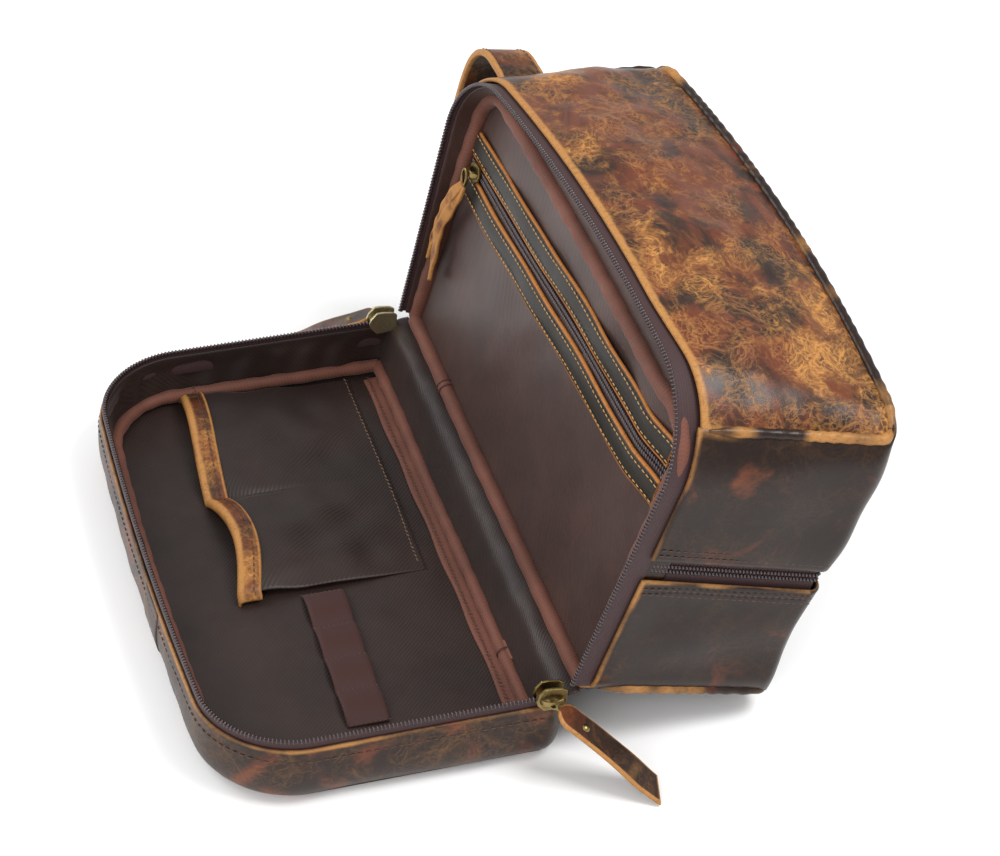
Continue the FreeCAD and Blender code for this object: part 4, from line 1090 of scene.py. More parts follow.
class KITBAG_OT_main_zip(bpy.types.Operator):
    """The main zip's tape and coils up both ends, round the corners and across the folding top"""
    bl_idname = "kit_bag.main_zip"
    bl_label = "Main Zip"

    def execute(self, context):
        bag, paint = Bag(context), materials(context)
        drop = bag.chain + 0.9
        ends, chain = [], []
        turn = np.linspace(0, math.pi / 2, 10)[1:]
        for side in (1, -1):
            x = np.r_[np.full(60, bag.half - drop), bag.half - 7 + (7 - drop) * np.cos(turn),
                      np.linspace(bag.half - 8, bag.mouth + 0.3, 12)]
            u = np.r_[np.linspace(12, bag.depth - 7, 60), bag.depth - 7 + (7 - drop) * np.sin(turn),
                      np.full(12, bag.depth - drop)]
            x, u = evenly(np.stack([x, u], 1), 110).T
            grid = body_place(bag, side * x[:, None], u[:, None], bag.zip_line + np.linspace(-9, 9, 7))
            ends.append(shell("tape", grid, bag.tape, paint["zip_tape"]))
            for row in (-1.2, 1.2):
                place = body_place(bag, side * x, u, bag.zip_line + row)
                out = unit(body_place(bag, side * (x + 1) , u + 0.6, bag.zip_line + row) - place)
                chain.append((place + out * 0.8 * MM, out))
        belongs(joined("end_tapes", ends), "bag_body", "zip_tape", "end_zip_tapes")
        belongs(repeat_along("end_teeth", "teeth", chain, bag.tooth_pitch, (1.2, 2.5, 1.9),
                             paint["zip_coil"],
                             0.03, 0.35, bag.seed), "bag_body", "zip_coil", "end_zip_coils")
        across = np.linspace(-bag.mouth + 0.4, bag.mouth - 0.4, 90)
        for way, word in ((1, "upper"), (-1, "lower")):
            body = f"mouth_flap_{word}_body"
            w = bag.zip_line + way * np.linspace(0.3, 8.5, 5)
            tape = shell(f"mouth_tape_{word}", body_place(bag, across[:, None], bag.depth - drop, w[None]),
                         bag.tape,
                         paint["zip_tape"])
            belongs(tape, body, "zip_tape", f"mouth_zip_{word}")
            place = body_place(bag, across, bag.depth - drop, bag.zip_line + way * 1.2)
            out = unit(body_place(bag, across, bag.depth, bag.zip_line)
                       - body_place(bag, across, 80, bag.zip_line))
            belongs(repeat_along(f"mouth_teeth_{word}", "teeth", [(place + out * 0.8 * MM, out)],
                                 bag.tooth_pitch,
                                 (1.2, 2.5, 1.9), paint["zip_coil"], 0.03, 0.35, bag.seed), body, "zip_coil")
        return {"FINISHED"}


def tray_loop(bag, count=520):
    """The tray's outline, closed: (across, away from the hinge) with outward directions."""
    pts = []
    for side, first in ((1, True), (-1, False)):
        half, r, hinge_r = bag.half, bag.rim_corner, bag.hinge_corner
        turn = np.linspace(0, math.pi / 2, 30)
        low = np.stack([half - hinge_r + hinge_r * np.sin(turn), hinge_r + 0.4 - hinge_r * np.cos(turn)], 1)
        high = np.stack([half - r + r * np.cos(turn), bag.width - r + r * np.sin(turn)], 1)
        part = np.concatenate([low, high]) * [side, 1]
        pts.append(part if first else part[::-1])
    loop = np.concatenate([*pts, pts[0][:1]])
    loop = evenly(loop, count + 1)[:-1]
    way = np.roll(loop, -1, 0) - np.roll(loop, 1, 0)
    out = unit(np.stack([way[:, 1], -way[:, 0]], 1))
    loop[:, 1] += bow_of(bag, loop[:, 0]) * np.clip(loop[:, 1] / bag.width, 0, 1) ** 2
    return loop, out


class KITBAG_OT_tray_leather(bpy.types.Operator):
    """The tray's wall with its rolled lower edge, and the overlap where the wall's ends meet"""
    bl_idname = "kit_bag.tray_leather"
    bl_label = "Tray Leather"

    def execute(self, context):
        bag, paint = Bag(context), materials(context)
        loop, out = tray_loop(bag)
        z = np.array([29.3, 28.6, 27.4, 25.5, 22.5, 19, 15.5, 12, 9, 6.6, 4.6, 3.0, 1.9, 1.2, 0.95])
        inset = np.array([0.6, 0.5, 0.35, 0.2, -0.1, -0.3, -0.3, -0.05, 0.4, 1.1, 2.2, 3.6, 5.2, 6.8,
                          8.2]) + 0.6
        hinge = (1 - ramp(loop[:, 1], 0.6, 6))[:, None]
        x = loop[:, :1] - out[:, :1] * inset
        v = loop[:, 1:] - out[:, 1:] * inset
        v = np.maximum(v, 1.4)
        grid = tray_place(x, v, z[None])
        inner = ramp(29.3 - z, 1, 8) * ramp(z, 0.9, 6) * (1 - 0.7 * hinge)
        swell = folds(grid, 0.024, bag.seed + 11) * 0.4 * inner
        wear = np.maximum(edge_wear(29.3 - z, 2.2), 0.45 * edge_wear(abs(z - 4), 5)) + 0 * v
        patchy = 0.5 + 0.5 * folds(grid, 0.05, bag.seed + 12)
        wear = wear * np.clip(0.25 + 0.75 * patchy, 0, 1) * np.where(z > 26.5, 0.8, 0.55)
        wall = shell("tray_wall_leather", grid, bag.leather * 0.9, paint["tray_leather"], wear, wrap=True,
                     lift=swell, rim=0.35)
        belongs(wall, "organizer_flap", "dark_leather", "tray_wall")
        a = np.linspace(14, 34, 12)
        zz = np.linspace(5.0, 28.6, 16)
        v = bag.width + bow_of(bag, a)[:, None] + 0.55 - np.interp(zz, z[::-1], inset[::-1])
        slant = (zz - 16) * 0.12
        patch = shell("tray_wall_join", tray_place(a[:, None] + slant, v, zz[None]), 1.1,
                      paint["tray_leather"],
                      0.5 * edge_wear(a - 14, 2.5)[:, None] + 0 * v, rim=0.35)
        belongs(patch, "organizer_flap", "dark_leather", "tray_wall_overlap")
        keep = loop[:, 1] > 9
        order = np.argsort(np.arctan2(loop[keep][:, 0], loop[keep][:, 1]))
        line, way = loop[keep][order], out[keep][order]
        place = tray_place(line[:, 0] + way[:, 0] * 0.35, line[:, 1] + way[:, 1] * 0.35, 29.3 - 5.2)
        rows = [(place, points(way[:, 0], -way[:, 1], 0 * way[:, 0]))]
        belongs(repeat_along("tray_wall_threads", "threads", rows, bag.stitch_pitch, (2.4, 0.6, 0.5),
                             paint["brown_thread"], 0.05, 0.0, bag.seed), "organizer_flap", "dark_leather")
        for node, name in (("tray_base_panel", "tray_leather"), ("tray_floor_board", "stiffener"),
                           ("divider_board", "stiffener")):
            repaint(node, paint[name])
        return {"FINISHED"}


def repaint(node, material):
    """Gives a carried-over frame node a finish."""
    piece = frame["nodes"][node]
    piece.data.materials.clear()
    piece.data.materials.append(material)
    for polygon in piece.data.polygons:
        polygon.material_index = 0


FLOOR = 8.6        # top of the tray's floor cloth


class KITBAG_OT_tray_lining(bpy.types.Operator):
    """The tray's wall lining, padded floor cloth, cloth piping with its flange, ring and wrap tab"""
    bl_idname = "kit_bag.tray_lining"
    bl_label = "Tray Lining"

    def execute(self, context):
        bag, paint = Bag(context), materials(context)
        path, out = rim_line(bag)
        x, v = path.T
        v = v + bow_of(bag, x) * np.clip(v / bag.width, 0, 1) ** 2
        t = np.linspace(0, 1, 22)
        inset = mix(1.0, 4.6, t**1.2)
        z = mix(31.5, FLOOR + 0.4, t)
        grid = tray_place(x[:, None] - out[:, :1] * inset, v[:, None] - out[:, 1:] * inset, z[None])
        inner = ramp(t, 0.05, 0.35) * (1 - ramp(t, 0.8, 1))
        tall = (folds(grid * [1, 1, 0.45], 0.0085, bag.seed + 21) * 0.9
                + folds(grid, 0.03, bag.seed + 22) * 0.9)
        wall = shell("tray_wall_cloth", grid, bag.cloth, paint["lining_twill"], lift=(tall + 0.6) * inner)
        belongs(wall, "organizer_flap", "lining_twill", "tray_wall_lining")
        self.floor(bag, paint)
        self.piping(bag, paint)
        return {"FINISHED"}

    def floor(self, bag, paint):
        half, low, high, corner = 118.5, 7.5, 134.5, 32.0
        x, v = np.meshgrid(np.linspace(-half, half, 130), np.linspace(low, high, 80), indexing="ij")
        over = np.clip(abs(x) - (half - corner), 0, corner) / corner
        limit = high - corner * (1 - np.sqrt(1 - over**2 * 0.98)) + bow_of(bag, x) * 0.8
        v = low + (v - low) * (limit - low) / (high - low)
        inner = ramp(np.minimum.reduce([x + half, half - x, v - low, limit - v]), 0, 16)
        puff = (folds(points(x, v, 0 * x), 34, bag.seed + 23) * 0.7
                + folds(points(x, v, 0 * x), 12, bag.seed + 24) * 0.18)
        z = FLOOR - 0.4 + puff * inner * 0.8
        floor = shell("tray_floor_pad", tray_place(x, v, z - 1.1), 3.0, paint["lining_twill"])
        belongs(floor, "organizer_flap", "lining_twill", "tray_floor_lining", "tray_floor_foam")

    def piping(self, bag, paint):
        loop, out = tray_loop(bag, 420)
        inset = 7.0
        x = loop[:, 0] - out[:, 0] * inset
        v = loop[:, 1] - out[:, 1] * inset
        v = np.maximum(v, 9.5)
        x = np.clip(x, -117.8, 117.8)
        path = tray_place(x, v, 12.4 + 0.5 * np.sin(x / 19))
        ripple = 1 + 0.05 * np.sin(np.arange(420) * 0.9) + 0.04 * np.sin(np.arange(420) * 0.37)
        hinge = np.exp(-((x - 78) / 2.0) ** 2) * (v < 12)
        tube = sweep("tube", path, circle(bag.floor_piping, 14), (0, 0, 1), paint["piping_twill"],
                     closed=True,
                     scale=ripple + 0.12 * hinge)
        a = np.linspace(-112, 117, 150)
        flange = []
        for start, end, level in ((11.2, 17.2, 10.3), (3.9, 7.6, 13.6)):
            b = np.linspace(start, end, 6)
            wave = 0.35 * np.sin(a / 7)[:, None] * ramp(abs(b - 9.5), 2, 6)
            lift = level - 0.11 * abs(b - 9.5) * 1.2 + 0 * wave
            flange.append(shell("flange", tray_place(a[:, None], b[None] + wave, lift), 0.9,
                                paint["piping_twill"]))
        belongs(joined("floor_piping", [tube, *flange]), "organizer_flap", "piping_twill",
                "tray_floor_piping")
        b, a = np.meshgrid(np.linspace(1.6, 8.8, 8), np.linspace(70, 81, 10), indexing="ij")
        tab = shell("piping_tab", tray_place(a, b, 15.4 + 0.7 * np.sin(b / 2.2) + 0 * a), 0.9,
                    paint["piping_twill"])
        belongs(tab, "organizer_flap", "piping_twill", "piping_wrap_tab")
        facing = (0.0, 0.0, 1.0)
        a = np.linspace(-112, 116, 160)
        rows = [(tray_place(a, 15.6, 10.5), facing), (tray_place(a, 4.9, 14.0), facing)]
        belongs(repeat_along("piping_threads", "threads", rows, 2.3, (2.4, 0.45, 0.4), paint["brown_thread"],
                             0.5,
                             0.6, bag.seed), "organizer_flap", "piping_twill")
        turn = np.linspace(0, 2 * math.pi, 26, endpoint=False)
        r = (bag.floor_piping + 0.35) * MM
        loop = tray_place(74.5, 9.5, 12.4) + np.stack([0 * turn, np.cos(turn) * r, np.sin(turn) * r], 1)
        belongs(sweep("piping_ring", loop, circle(0.33, 6), (1, 0, 0), paint["brown_thread"], closed=True),
                "organizer_flap", "piping_twill")


POCKET_X = (-114.0, -47.0, 15.0)


def pocket_height(x, v):
    """How high the slip pockets' cloth stands over the floor."""
    reach = ramp(v, 24, 104)
    far = np.clip((x - POCKET_X[0]) / (POCKET_X[1] - POCKET_X[0]), 0, 1)
    near = np.clip((x - POCKET_X[1]) / (POCKET_X[2] - POCKET_X[1]), 0, 1)
    first = np.sin(math.pi * far) ** 0.8 * 5.2 + (1 - far) * 4.5
    second = np.sin(math.pi * near**0.8) ** 0.9 * 7.0 + near * 3.6
    return 0.7 + reach * np.where(x < POCKET_X[1], first, second)


def mouth_line(x):
    """Where the pockets' mouths lie, away from the hinge."""
    far = 100.5 + 4.5 * ramp(x, POCKET_X[0], POCKET_X[1])
    near = np.clip((x - POCKET_X[1]) / (POCKET_X[2] - POCKET_X[1]), 0, 1)
    return np.where(x < POCKET_X[1], far, 105 - 5.0 * np.sin(math.pi * near) + 1.0 * near)


class KITBAG_OT_slip_pockets(bpy.types.Operator):
    """Two satin slip pockets with a leather edge at their mouths, sewn to the tray's floor"""
    bl_idname = "kit_bag.slip_pockets"
    bl_label = "Slip Pockets"

    def execute(self, context):
        bag, paint = Bag(context), materials(context)
        x = np.r_[np.linspace(POCKET_X[0], POCKET_X[1], 60), np.linspace(POCKET_X[1], POCKET_X[2], 60)[1:]]
        t = np.linspace(0, 1, 64)
        v = 25.0 + t[None] * (mouth_line(x)[:, None] - 25.0)
        xx = x[:, None] + 0 * v
        z = FLOOR + pocket_height(xx, v)
        crease = folds(points(xx, v, 0 * v), 14, bag.seed + 31) * 0.85 * ramp(v, 28, 50)
        seam = np.exp(-((xx - POCKET_X[1]) / 2.2) ** 2) * ramp(v, 40, 100) * 0.9
        cloth = shell("slip_pocket_cloth", tray_place(xx, v, z + crease - seam), bag.cloth,
                      paint["lining_twill"])
        belongs(cloth, "organizer_flap", "lining_twill", "slip_pocket_panel")
        a = np.linspace(POCKET_X[0] - 4, POCKET_X[2] + 3, 150)
        b = np.array([-8.3, -7.4, -5.5, -3.5, -1.6, -0.4, 0.5, 0.9, 0.7])
        dip = np.array([1.1, 1.2, 1.25, 1.25, 1.3, 1.2, 0.7, -0.4, -1.8])
        edge = mouth_line(np.clip(a, POCKET_X[0], POCKET_X[2]))[:, None] + b
        inside = np.clip(a, POCKET_X[0], POCKET_X[2])[:, None]
        outside = np.maximum(POCKET_X[0] - a, a - POCKET_X[2])[:, None].clip(0)
        level = FLOOR + pocket_height(inside + 0 * edge, edge) + dip - outside * 0.9
        wobble = folds(points(a[:, None] + 0 * edge, edge, 0 * edge), 8, bag.seed + 32) * 0.25
        worn = np.clip(np.maximum(0.95 * edge_wear(abs(b + 0.2), 2.6), edge_wear(b + 8.3, 1.4)) + 0 * edge
                       + 0.25 * wobble, 0, 1)
        trim = shell("slip_pocket_edge", tray_place(a[:, None], edge, level + wobble), 1.3,
                     paint["tan_leather"], worn)
        belongs(trim, "organizer_flap", "tan_leather", "slip_pocket_trim")
        up = (0.0, 0.0, 1.0)
        row_v = mouth_line(np.clip(a, POCKET_X[0], POCKET_X[2])) - 5.6
        row_z = FLOOR + pocket_height(np.clip(a, *POCKET_X[::2]), row_v) + 2.1
        s = np.linspace(POCKET_X[0], POCKET_X[2] - 6, 120)
        rows = [(tray_place(a, row_v, row_z), up)]
        belongs(repeat_along("pocket_edge_threads", "threads", rows, 3.0, (2.2, 0.6, 0.5),
                             paint["brown_thread"],
                             0.1, 0.0, bag.seed), "organizer_flap", "tan_leather")
        seam_v = 26.0 + 1.5 * ramp(s, -40, 10)
        rows = [(tray_place(s, seam_v, FLOOR + pocket_height(s, seam_v) + 0.5), up)]
        belongs(repeat_along("pocket_seam_threads", "threads", rows, 2.6, (2.1, 0.5, 0.4),
                             paint["tan_thread"],
                             0.35, 0.3, bag.seed), "organizer_flap", "lining_twill")
        return {"FINISHED"}


class KITBAG_OT_elastic_loops(bpy.types.Operator):
    """The woven elastic strip, stitched down between its four loops"""
    bl_idname = "kit_bag.elastic_loops"
    bl_label = "Elastic Loops"

    def execute(self, context):
        bag, paint = Bag(context), materials(context)
        cells = np.array([19, 39, 58, 77, 97.0])
        a = np.linspace(cells[0], cells[-1], 120)
        b = np.linspace(64, 81, 10)
        k = np.clip(np.searchsorted(cells, a, side="right") - 1, 0, 3)
        share = (a - cells[k]) / (cells[k + 1] - cells[k])
        z = FLOOR + 0.75 + 2.3 * np.sin(math.pi * share) ** 0.7
        strip = shell("elastic_strip",
                      tray_place(a[:, None], b[None] + (a[:, None] - 58) * 0.02, z[:, None]), 0.9,
                      paint["elastic_webbing"])
        belongs(strip, "organizer_flap", "elastic_webbing", "elastic_loop_strip")
        rows = []
        for at in cells:
            v = np.linspace(64.5, 80.5, 12)
            rows.append((tray_place(at + 0 * v, v, FLOOR + 1.35), (0.0, 0.0, 1.0)))
        belongs(repeat_along("elastic_threads", "threads", rows, 2.0, (1.6, 0.5, 0.45),
                             paint["brown_thread"], 0.2,
                             0.0, bag.seed), "organizer_flap", "elastic_webbing")
        return {"FINISHED"}


class KITBAG_OT_hinge(bpy.types.Operator):
    """The cloth and the leather that cross the hinge between the tray and the body"""
    bl_idname = "kit_bag.hinge"
    bl_label = "Hinge"

    def execute(self, context):
        bag, paint = Bag(context), materials(context)
        for name, knots, half, material, slot, thickness, nodes in (
            ("hinge_cloth", [(-8.6, 12.6), (-7.0, 18), (-4.8, 25), (-2.2, 30.4), (1.5, 32.9), (5.6, 33.4)],
             122.8, "lining_twill", "lining_twill", 0.8, ("hinge_gusset_tray_half",)),
            ("hinge_leather", [(-1.6, 25), (-1.2, 29.5), (0.4, 31.2), (3.5, 31.2), (8.5, 30.2), (11, 29.6)],
             118.0, "end_leather", "dark_leather", 1.3, ("hinge_strip",)),
        ):
            line = smooth_line(knots, 26)
            a = np.linspace(-half, half, 150)
            y, z = line.T
            pull = 1.0 * folds(points(a[:, None] + 0 * y, 3 * y + 0 * a[:, None], 0 * y + 0 * a[:, None]),
                               16,
                               bag.seed + 41) * np.sin(np.linspace(0, math.pi, len(y)))
            grid = tray_place(a[:, None], -y + 0 * a[:, None], z + pull
                              * (0.7 if slot == "lining_twill" else 0.2))
            piece = shell(name, grid, thickness, paint[material], 0 * grid[..., 0], rim=0.0)
            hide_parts(*nodes)
            tray_place(0, 6.5, bag.rim_height)
            tray_place(0, -4.5, bag.rim_height)
            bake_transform(piece)
        return {"FINISHED"}


# ---- metal and pulls
def plate(outline, low, high, bevel=0.35):
    """A bevelled plate: outline in (x, z), from low to high along y. Millimetres."""
    work = bmesh.new()
    floor = [work.verts.new((x, low, z)) for x, z in outline]
    face = work.faces.new(floor)
    moved = bmesh.ops.extrude_face_region(work, geom=[face])["geom"]
    bmesh.ops.translate(work, verts=[g for g in moved if isinstance(g, bmesh.types.BMVert)],
                        vec=(0, high - low, 0))
    bmesh.ops.bevel(work, geom=work.edges[:], offset=bevel, segments=2, profile=0.6, affect="EDGES")
    bmesh.ops.recalc_face_normals(work, faces=work.faces)
    mesh = bpy.data.meshes.new("plate")
    work.to_mesh(mesh)
    work.free()
    mesh.polygons.foreach_set("use_smooth", [False] * len(mesh.polygons))
    piece = bpy.data.objects.new("plate", mesh)
    bpy.context.scene.collection.objects.link(piece)
    return piece


def set_down(piece, origin, along, outward):
    """Moves a mesh drawn in millimetres, +X along and +Y outward, to its place in metres."""
    x = Vector(along).normalized()
    y = (Vector(outward) - Vector(outward).dot(x) * x).normalized()
    z = x.cross(y)
    turn = Matrix((x, y, z)).transposed().to_4x4()
    piece.data.transform(Matrix.Translation(Vector(origin)) @ turn @ Matrix.Scale(MM, 4))
    return piece


def slider_body(width, length, material, shield=False):
    """A zip slider: two plates, the post between them and the bridge that its pull hangs from."""
    half, nose = width / 2, length / 2
    outline = [(-nose, -half * 0.62), (-nose * 0.7, -half * 0.86), (0, -half), (nose * 0.45, -half),
               (nose * 0.86, -half * 0.45), (nose, 0), (nose * 0.86, half * 0.45), (nose * 0.45, half),
               (0, half), (-nose * 0.7, half * 0.86), (-nose, half * 0.62)]
    parts = [plate(outline, 1.7, 2.9), plate(outline, -2.9, -1.7),
             plate([(nose * 0.35, -0.7), (nose * 0.8, -0.5), (nose * 0.8, 0.5), (nose * 0.35, 0.7)], -2.2,
                   2.2, 0.2)]
    if not shield:
        arch = smooth_line([(-nose * 0.75, 2.6, 0), (-nose * 0.55, 4.6, 0), (0, 5.3, 0),
                            (nose * 0.5, 4.6, 0),
                            (nose * 0.7, 2.6, 0)], 20) * MM
        bridge = sweep("bridge", arch, strap_section(2.6, 0.9, 0.3, 4), (0, 1, 0), material)
        bridge.data.transform(Matrix.Scale(1 / MM, 4))
        parts.append(bridge)
    for part in parts:
        part.data.materials.clear()
        part.data.materials.append(material)
        for layer in list(part.data.uv_layers):
            part.data.uv_layers.remove(layer)
    return joined("slider", parts)


def pull_tab(bag, name, material, root, along, normal, length=58.0, width=11.0, curl=1.0):
    """A leather tab with a rounded root and an obliquely cut end, slightly curled."""
    start, half = 3.4, width / 2
    a, b = np.meshgrid(np.linspace(0, 1, 60), np.linspace(-1, 1, 14), indexing="ij")
    s = start + a * (mix(length - half, length, (b + 1) / 2) - start)
    near = np.clip((s - start) / half, 0.05, 1)
    spread = half * np.sqrt(np.clip(1 - (1 - near) ** 2, 0, 1)) * (1 - 0.05 * np.sin(a * 7))
    side = np.cross(np.array(along), np.array(normal))
    lift = curl * (0.7 * np.sin(s / 13) + 0.25
                   * np.sin(s / 5 + b)) * ramp(s, 6, 26) * (1 - ramp(s, length - 14, length))
    grid = (np.array(root) + (np.array(along) * s[..., None] + side * (b * spread)[..., None]
                              + np.array(normal) * lift[..., None]) * MM)
    edge = half * (1 - abs(b))
    wear = np.maximum(0.8 * edge_wear(edge, 1.0), edge_wear((1 - a) * (length - start), 1.5) * 0.9)
    wear = np.maximum(wear, 0.42 * ramp(s, 26, 44) * (0.6 + 0.4 * folds(grid, 0.006, bag.seed + 3)))
    return shell(name, grid, 2.2, material, wear)


class KITBAG_OT_sliders(bpy.types.Operator):
    """The zip sliders with their pulls: leather tabs outside, a folded thong on the pocket"""
    bl_idname = "kit_bag.sliders"
    bl_label = "Sliders and Pulls"

    def execute(self, context):
        bag, paint = Bag(context), materials(context)
        drop = math.asin((bag.rim_height - 1.3) / 58)
        for name, side, turn in (("near", 1, 55), ("far", -1, -55)):
            place = tray_place(side * (bag.half - bag.chain), 7.0, bag.rim_height)
            material = paint["antique_brass" if name == "near" else "pale_brass"]
            slider = slider_body(11.5, 13.0, material)
            set_down(slider, place, (0, -1, 0), (side, 0, 0))
            slider.name = f"{name}_slider_metal"
            belongs(slider, f"{name}_slider_body", "antique_brass" if name == "near" else "pale_brass",
                    f"{name}_slider")
            t = math.radians(turn)
            flat = np.array([side * math.cos(t), math.sin(t), 0])
            along = flat * math.cos(drop) - [0, 0, math.sin(drop)]
            normal = flat * math.sin(drop) + [0, 0, math.cos(drop)]
            root = np.array(JOINTS[f"{name}_pull_swing"]["pos_m"])
            tab = pull_tab(bag, f"{name}_pull_leather", paint["pull_leather"], root, along, normal)
            belongs(tab, f"{name}_pull", "trim_leather", f"{name}_pull_tab")
            repaint(f"{name}_pull_link", paint["antique_brass"])
            repaint(f"{name}_pull_rivet", paint["antique_brass"])
        self.main(bag, paint)
        self.pocket(bag, paint)
        return {"FINISHED"}

    def main(self, bag, paint):
        root = np.array(JOINTS["main_pull_swing"]["pos_m"])
        turn = math.radians(LEAN)
        out = np.array([0, math.cos(turn), -math.sin(turn)])
        down = np.array([0, -math.sin(turn), -math.cos(turn)])
        tab = pull_tab(bag, "main_pull_leather", paint["pull_leather"], root, down, out, curl=0.4)
        belongs(tab, "main_pull", "trim_leather", "main_pull_tab")
        for node in ("main_pull_link", "main_pull_rivet", "main_slider"):
            repaint(node, paint["antique_brass"])

    def pocket(self, bag, paint):
        x = -104.5
        line = float(pocket_line(x))
        place = body_place(bag, x, 8.2, line, 1.0)
        way = unit(body_place(bag, x + 5, 8.2, line + 0.3, 1.0) - place)
        out = unit(body_place(bag, x, 2, line, 1.0) - place)
        slider = set_down(slider_body(8.4, 10.5, paint["antique_brass"]), place, way, out)
        slider.name = "pocket_slider_metal"
        belongs(slider, "pocket_slider_body", "antique_brass", "pocket_slider")
        ring_at = body_place(bag, x - 1.5, 2.2, line - 3.6, 1.0)
        turn = np.linspace(0, 2 * math.pi, 30, endpoint=False)
        loop = ring_at + (np.cos(turn)[:, None] * way * 2.6 + np.sin(turn)[:, None] * np.array([0, 0.1, 1])
                          * 4.4) * MM
        ring = sweep("pocket_pull_ring", loop, circle(0.7, 8), out, paint["antique_brass"], closed=True)
        belongs(ring, "pocket_pull", "antique_brass", "pocket_pull_link")
        tails = []
        for knots, width in (([(x - 1.4, 2.3, line - 7.0), (x - 4.5, 0.2, line - 16),
                               (x - 8.8, 1.2, line - 30),
                               (x - 12.4, 2.4, line - 43), (x - 14.0, 3.4, line - 54)], 4.6),
                             ([(x - 0.6, 2.6, line - 7.0), (x - 2.2, 1.6, line - 18),
                               (x - 5.6, 0.4, line - 33),
                               (x - 6.2, 2.2, line - 47), (x - 5.2, 3.2, line - 60)], 5.0)):
            line_ = smooth_line(knots, 70)
            path = body_place(bag, line_[:, 0], line_[:, 1], line_[:, 2], 1.0)
            count = np.arange(70)
            section = np.array(strap_section(width, 1.7, 0.6, 5))
            worn = np.clip(0.55 + 0.35 * np.sin(count * 0.33)[:, None] + 0.4
                           * (abs(section[:, 0]) > width / 2 - 0.9),
                           0, 1)
            twist = 0.5 * np.sin(count / 17)
            face = out * np.cos(twist)[:, None] + way * np.sin(twist)[:, None]
            tails.append(sweep("tail", path, section, face, paint["tan_leather"],
                               scale=1 + 0.12 * np.sin(count * 0.4 + width), worn=worn))
        belongs(joined("pocket_pull_tails", tails), "pocket_pull", "tan_leather", "pocket_pull_thong")


class KITBAG_OT_handle(bpy.types.Operator):
    """The strap arched over the far end"""
    bl_idname = "kit_bag.handle"
    bl_label = "Handle"

    def execute(self, context):
        bag, paint = Bag(context), materials(context)
        knots = [(-113.5, 129.0), (-119, 132.0), (-127, 133.5), (-136, 132.5), (-144, 127.5), (-149.5, 117),
                 (-152, 98), (-152.6, 70), (-152, 42), (-149.5, 20), (-143, 7.5), (-133, 2.5), (-124.5, 2.5)]
        x, w = smooth_line(knots, 180).T
        section = np.array(strap_section(21, 2.9, 0.8, 12))
        place = body_place(bag, x, 27.0, w)
        away = points(x + 120.0, 0 * x, w - 68.0)
        face = unit(np.cross(np.gradient(place, axis=0), body_place(bag, x, 30.0, w) - place))
        face *= np.sign((face * away).sum(1, keepdims=True))
        worn = np.where(abs(section[:, 0]) > 9.2, 1.0, 0.12)[None] + np.zeros((180, 1))
        strap = sweep("handle_strap_leather", place, section, face, paint["strap_leather"], worn=worn)
        belongs(strap, "bag_body", "tan_leather", "handle_strap")
        rows = []
        for side in (-8.0, 8.0):
            top = body_place(bag, x, 27.0 + side, w)
            rows.append((top + face * 1.55 * MM, face))
        belongs(repeat_along("handle_threads", "threads", rows, bag.stitch_pitch, (2.4, 0.6, 0.5),
                             paint["brown_thread"], 0.05, 0.0, bag.seed), "bag_body", "tan_leather")
        return {"FINISHED"}


class KITBAG_OT_leather_threads(bpy.types.Operator):
    """Stitch rows on the body's leather beside the main zip, up both ends"""
    bl_idname = "kit_bag.leather_threads"
    bl_label = "Leather Threads"

    def execute(self, context):
        bag, paint = Bag(context), materials(context)
        along = np.linspace(0.03, 1.1, 110)
        turn = np.clip(along - 1, 0, 1) * math.pi / 2
        rows = []
        for upper in (True, False):
            for inset in (3.2, 6.2):
                for side in (1, -1):
                    x, u, w = end_strip(bag, along, np.full_like(along, inset / 62), upper)
                    place = body_place(bag, side * x, u, w)
                    ahead = body_place(bag, side * (x + np.cos(turn)), u + np.sin(turn), w)
                    out = unit(ahead - place)
                    rows.append((place + out * 1.3 * MM, out))
        belongs(repeat_along("zip_edge_threads", "threads", rows, 3.0, (2.2, 0.55, 0.45),
                             paint["brown_thread"],
                             0.08, 0.0, bag.seed), "bag_body", "dark_leather")
        return {"FINISHED"}


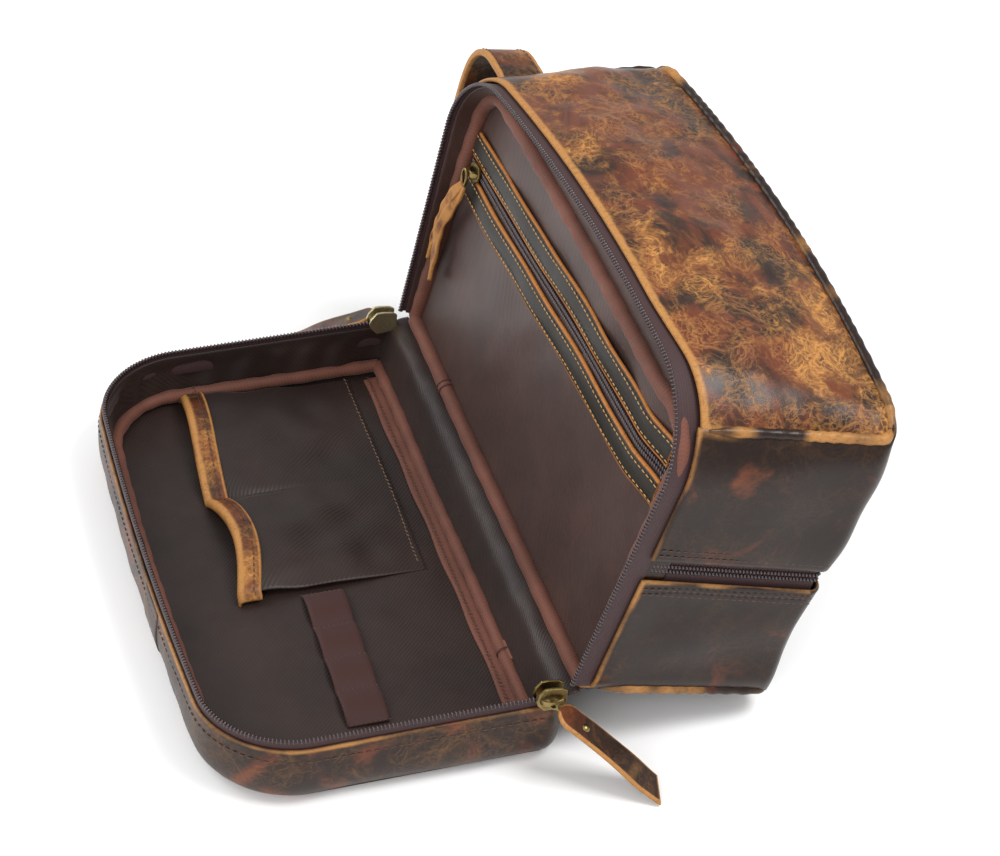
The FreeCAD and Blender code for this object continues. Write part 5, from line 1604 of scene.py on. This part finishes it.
# ---- stage
class KITBAG_OT_stage(bpy.types.Operator):
    """The pale floor, the soft studio light and the camera"""
    bl_idname = "kit_bag.stage"
    bl_label = "Stage"

    def execute(self, context):
        mesh = bpy.data.meshes.new("floor")
        mesh.from_pydata([(-4, -4, 0), (4, -4, 0), (4, 4, 0), (-4, 4, 0)], [], [(0, 1, 2, 3)])
        floor = bpy.data.objects.new("floor", mesh)
        floor.location.z = -0.0002
        context.scene.collection.objects.link(floor)
        paint = Paint("floor_paper")
        mesh.materials.append(paint.done(paint.blend(paint.noise(paint.place(), 3), (0.90, 0.90, 0.90),
                                                     (0.93, 0.93, 0.93)), 0.85))
        world = bpy.data.worlds.new("studio")
        world.use_nodes = True
        world.node_tree.nodes["Background"].inputs[0].default_value = (1, 1, 1, 1)
        world.node_tree.nodes["Background"].inputs[1].default_value = 0.72
        context.scene.world = world
        for name, place, size, power in (
            ("key", (0.35, 0.55, 1.15), 0.55, 11), ("fill", (0.9, -0.9, 0.8), 0.9, 9),
            ("left", (-0.7, -0.9, 0.9), 0.8, 8),
        ):
            light = bpy.data.lights.new(name, "AREA")
            light.size, light.energy = size, power
            lamp = bpy.data.objects.new(name, light)
            lamp.location = place
            aim = Vector((0, 0.02, 0.05)) - Vector(place)
            lamp.rotation_euler = aim.to_track_quat("-Z", "Y").to_euler()
            context.scene.collection.objects.link(lamp)
        self.camera(context)
        context.scene.view_settings.view_transform = "Standard"
        return {"FINISHED"}

    def camera(self, context):
        turn, rise, roll = (math.radians(a) for a in (69.96, 40.21, 4.13))
        back = Vector((math.sin(turn) * math.cos(rise), -math.cos(turn) * math.cos(rise), math.sin(rise)))
        right = Vector((math.cos(turn), math.sin(turn), 0))
        up = back.cross(right)
        right, up = (right * math.cos(roll) + up * math.sin(roll), up * math.cos(roll) - right
                     * math.sin(roll))
        data = bpy.data.cameras.new("camera")
        data.lens, data.sensor_width = 113.03, 36
        eye = bpy.data.objects.new("camera", data)
        eye.matrix_world = Matrix((right, up, back)).transposed().to_4x4()
        eye.location = (0.94129, -0.32342, 0.91544)
        context.scene.collection.objects.link(eye)
        context.scene.camera = eye


class KITBAG_PT_panel(bpy.types.Panel):
    bl_label = "Shaving Kit Bag"
    bl_idname = "KITBAG_PT_panel"
    bl_space_type = "VIEW_3D"
    bl_region_type = "UI"
    bl_category = "Shaving Kit"

    def draw(self, context):
        for group in (context.scene.kit_bag_sizes, context.scene.kit_bag_colours):
            box = self.layout.box()
            for key in type(group).__annotations__:
                box.prop(group, key)
        for operator in PIECES:
            self.layout.operator(operator.bl_idname)


PIECES = (
    KITBAG_OT_side_panels, KITBAG_OT_end_leather, KITBAG_OT_seam_welts, KITBAG_OT_rim_zip,
          KITBAG_OT_inner_panel,
    KITBAG_OT_pocket_zip, KITBAG_OT_main_zip, KITBAG_OT_tray_leather, KITBAG_OT_tray_lining,
    KITBAG_OT_slip_pockets, KITBAG_OT_elastic_loops, KITBAG_OT_hinge, KITBAG_OT_sliders, KITBAG_OT_handle,
    KITBAG_OT_leather_threads, KITBAG_OT_stage,
)
CLASSES = (KitBagSizes, KitBagColours, *PIECES, KITBAG_PT_panel)


def register():
    for cls in CLASSES:
        bpy.utils.register_class(cls)
    bpy.types.Scene.kit_bag_sizes = PointerProperty(type=KitBagSizes)
    bpy.types.Scene.kit_bag_colours = PointerProperty(type=KitBagColours)


def unregister():
    del bpy.types.Scene.kit_bag_colours
    del bpy.types.Scene.kit_bag_sizes
    for cls in reversed(CLASSES):
        bpy.utils.unregister_class(cls)


def main():
    register()
    for operator in PIECES:
        group, call = operator.bl_idname.split(".")
        getattr(getattr(bpy.ops, group), call)()


if __name__ == "__main__":
    main()
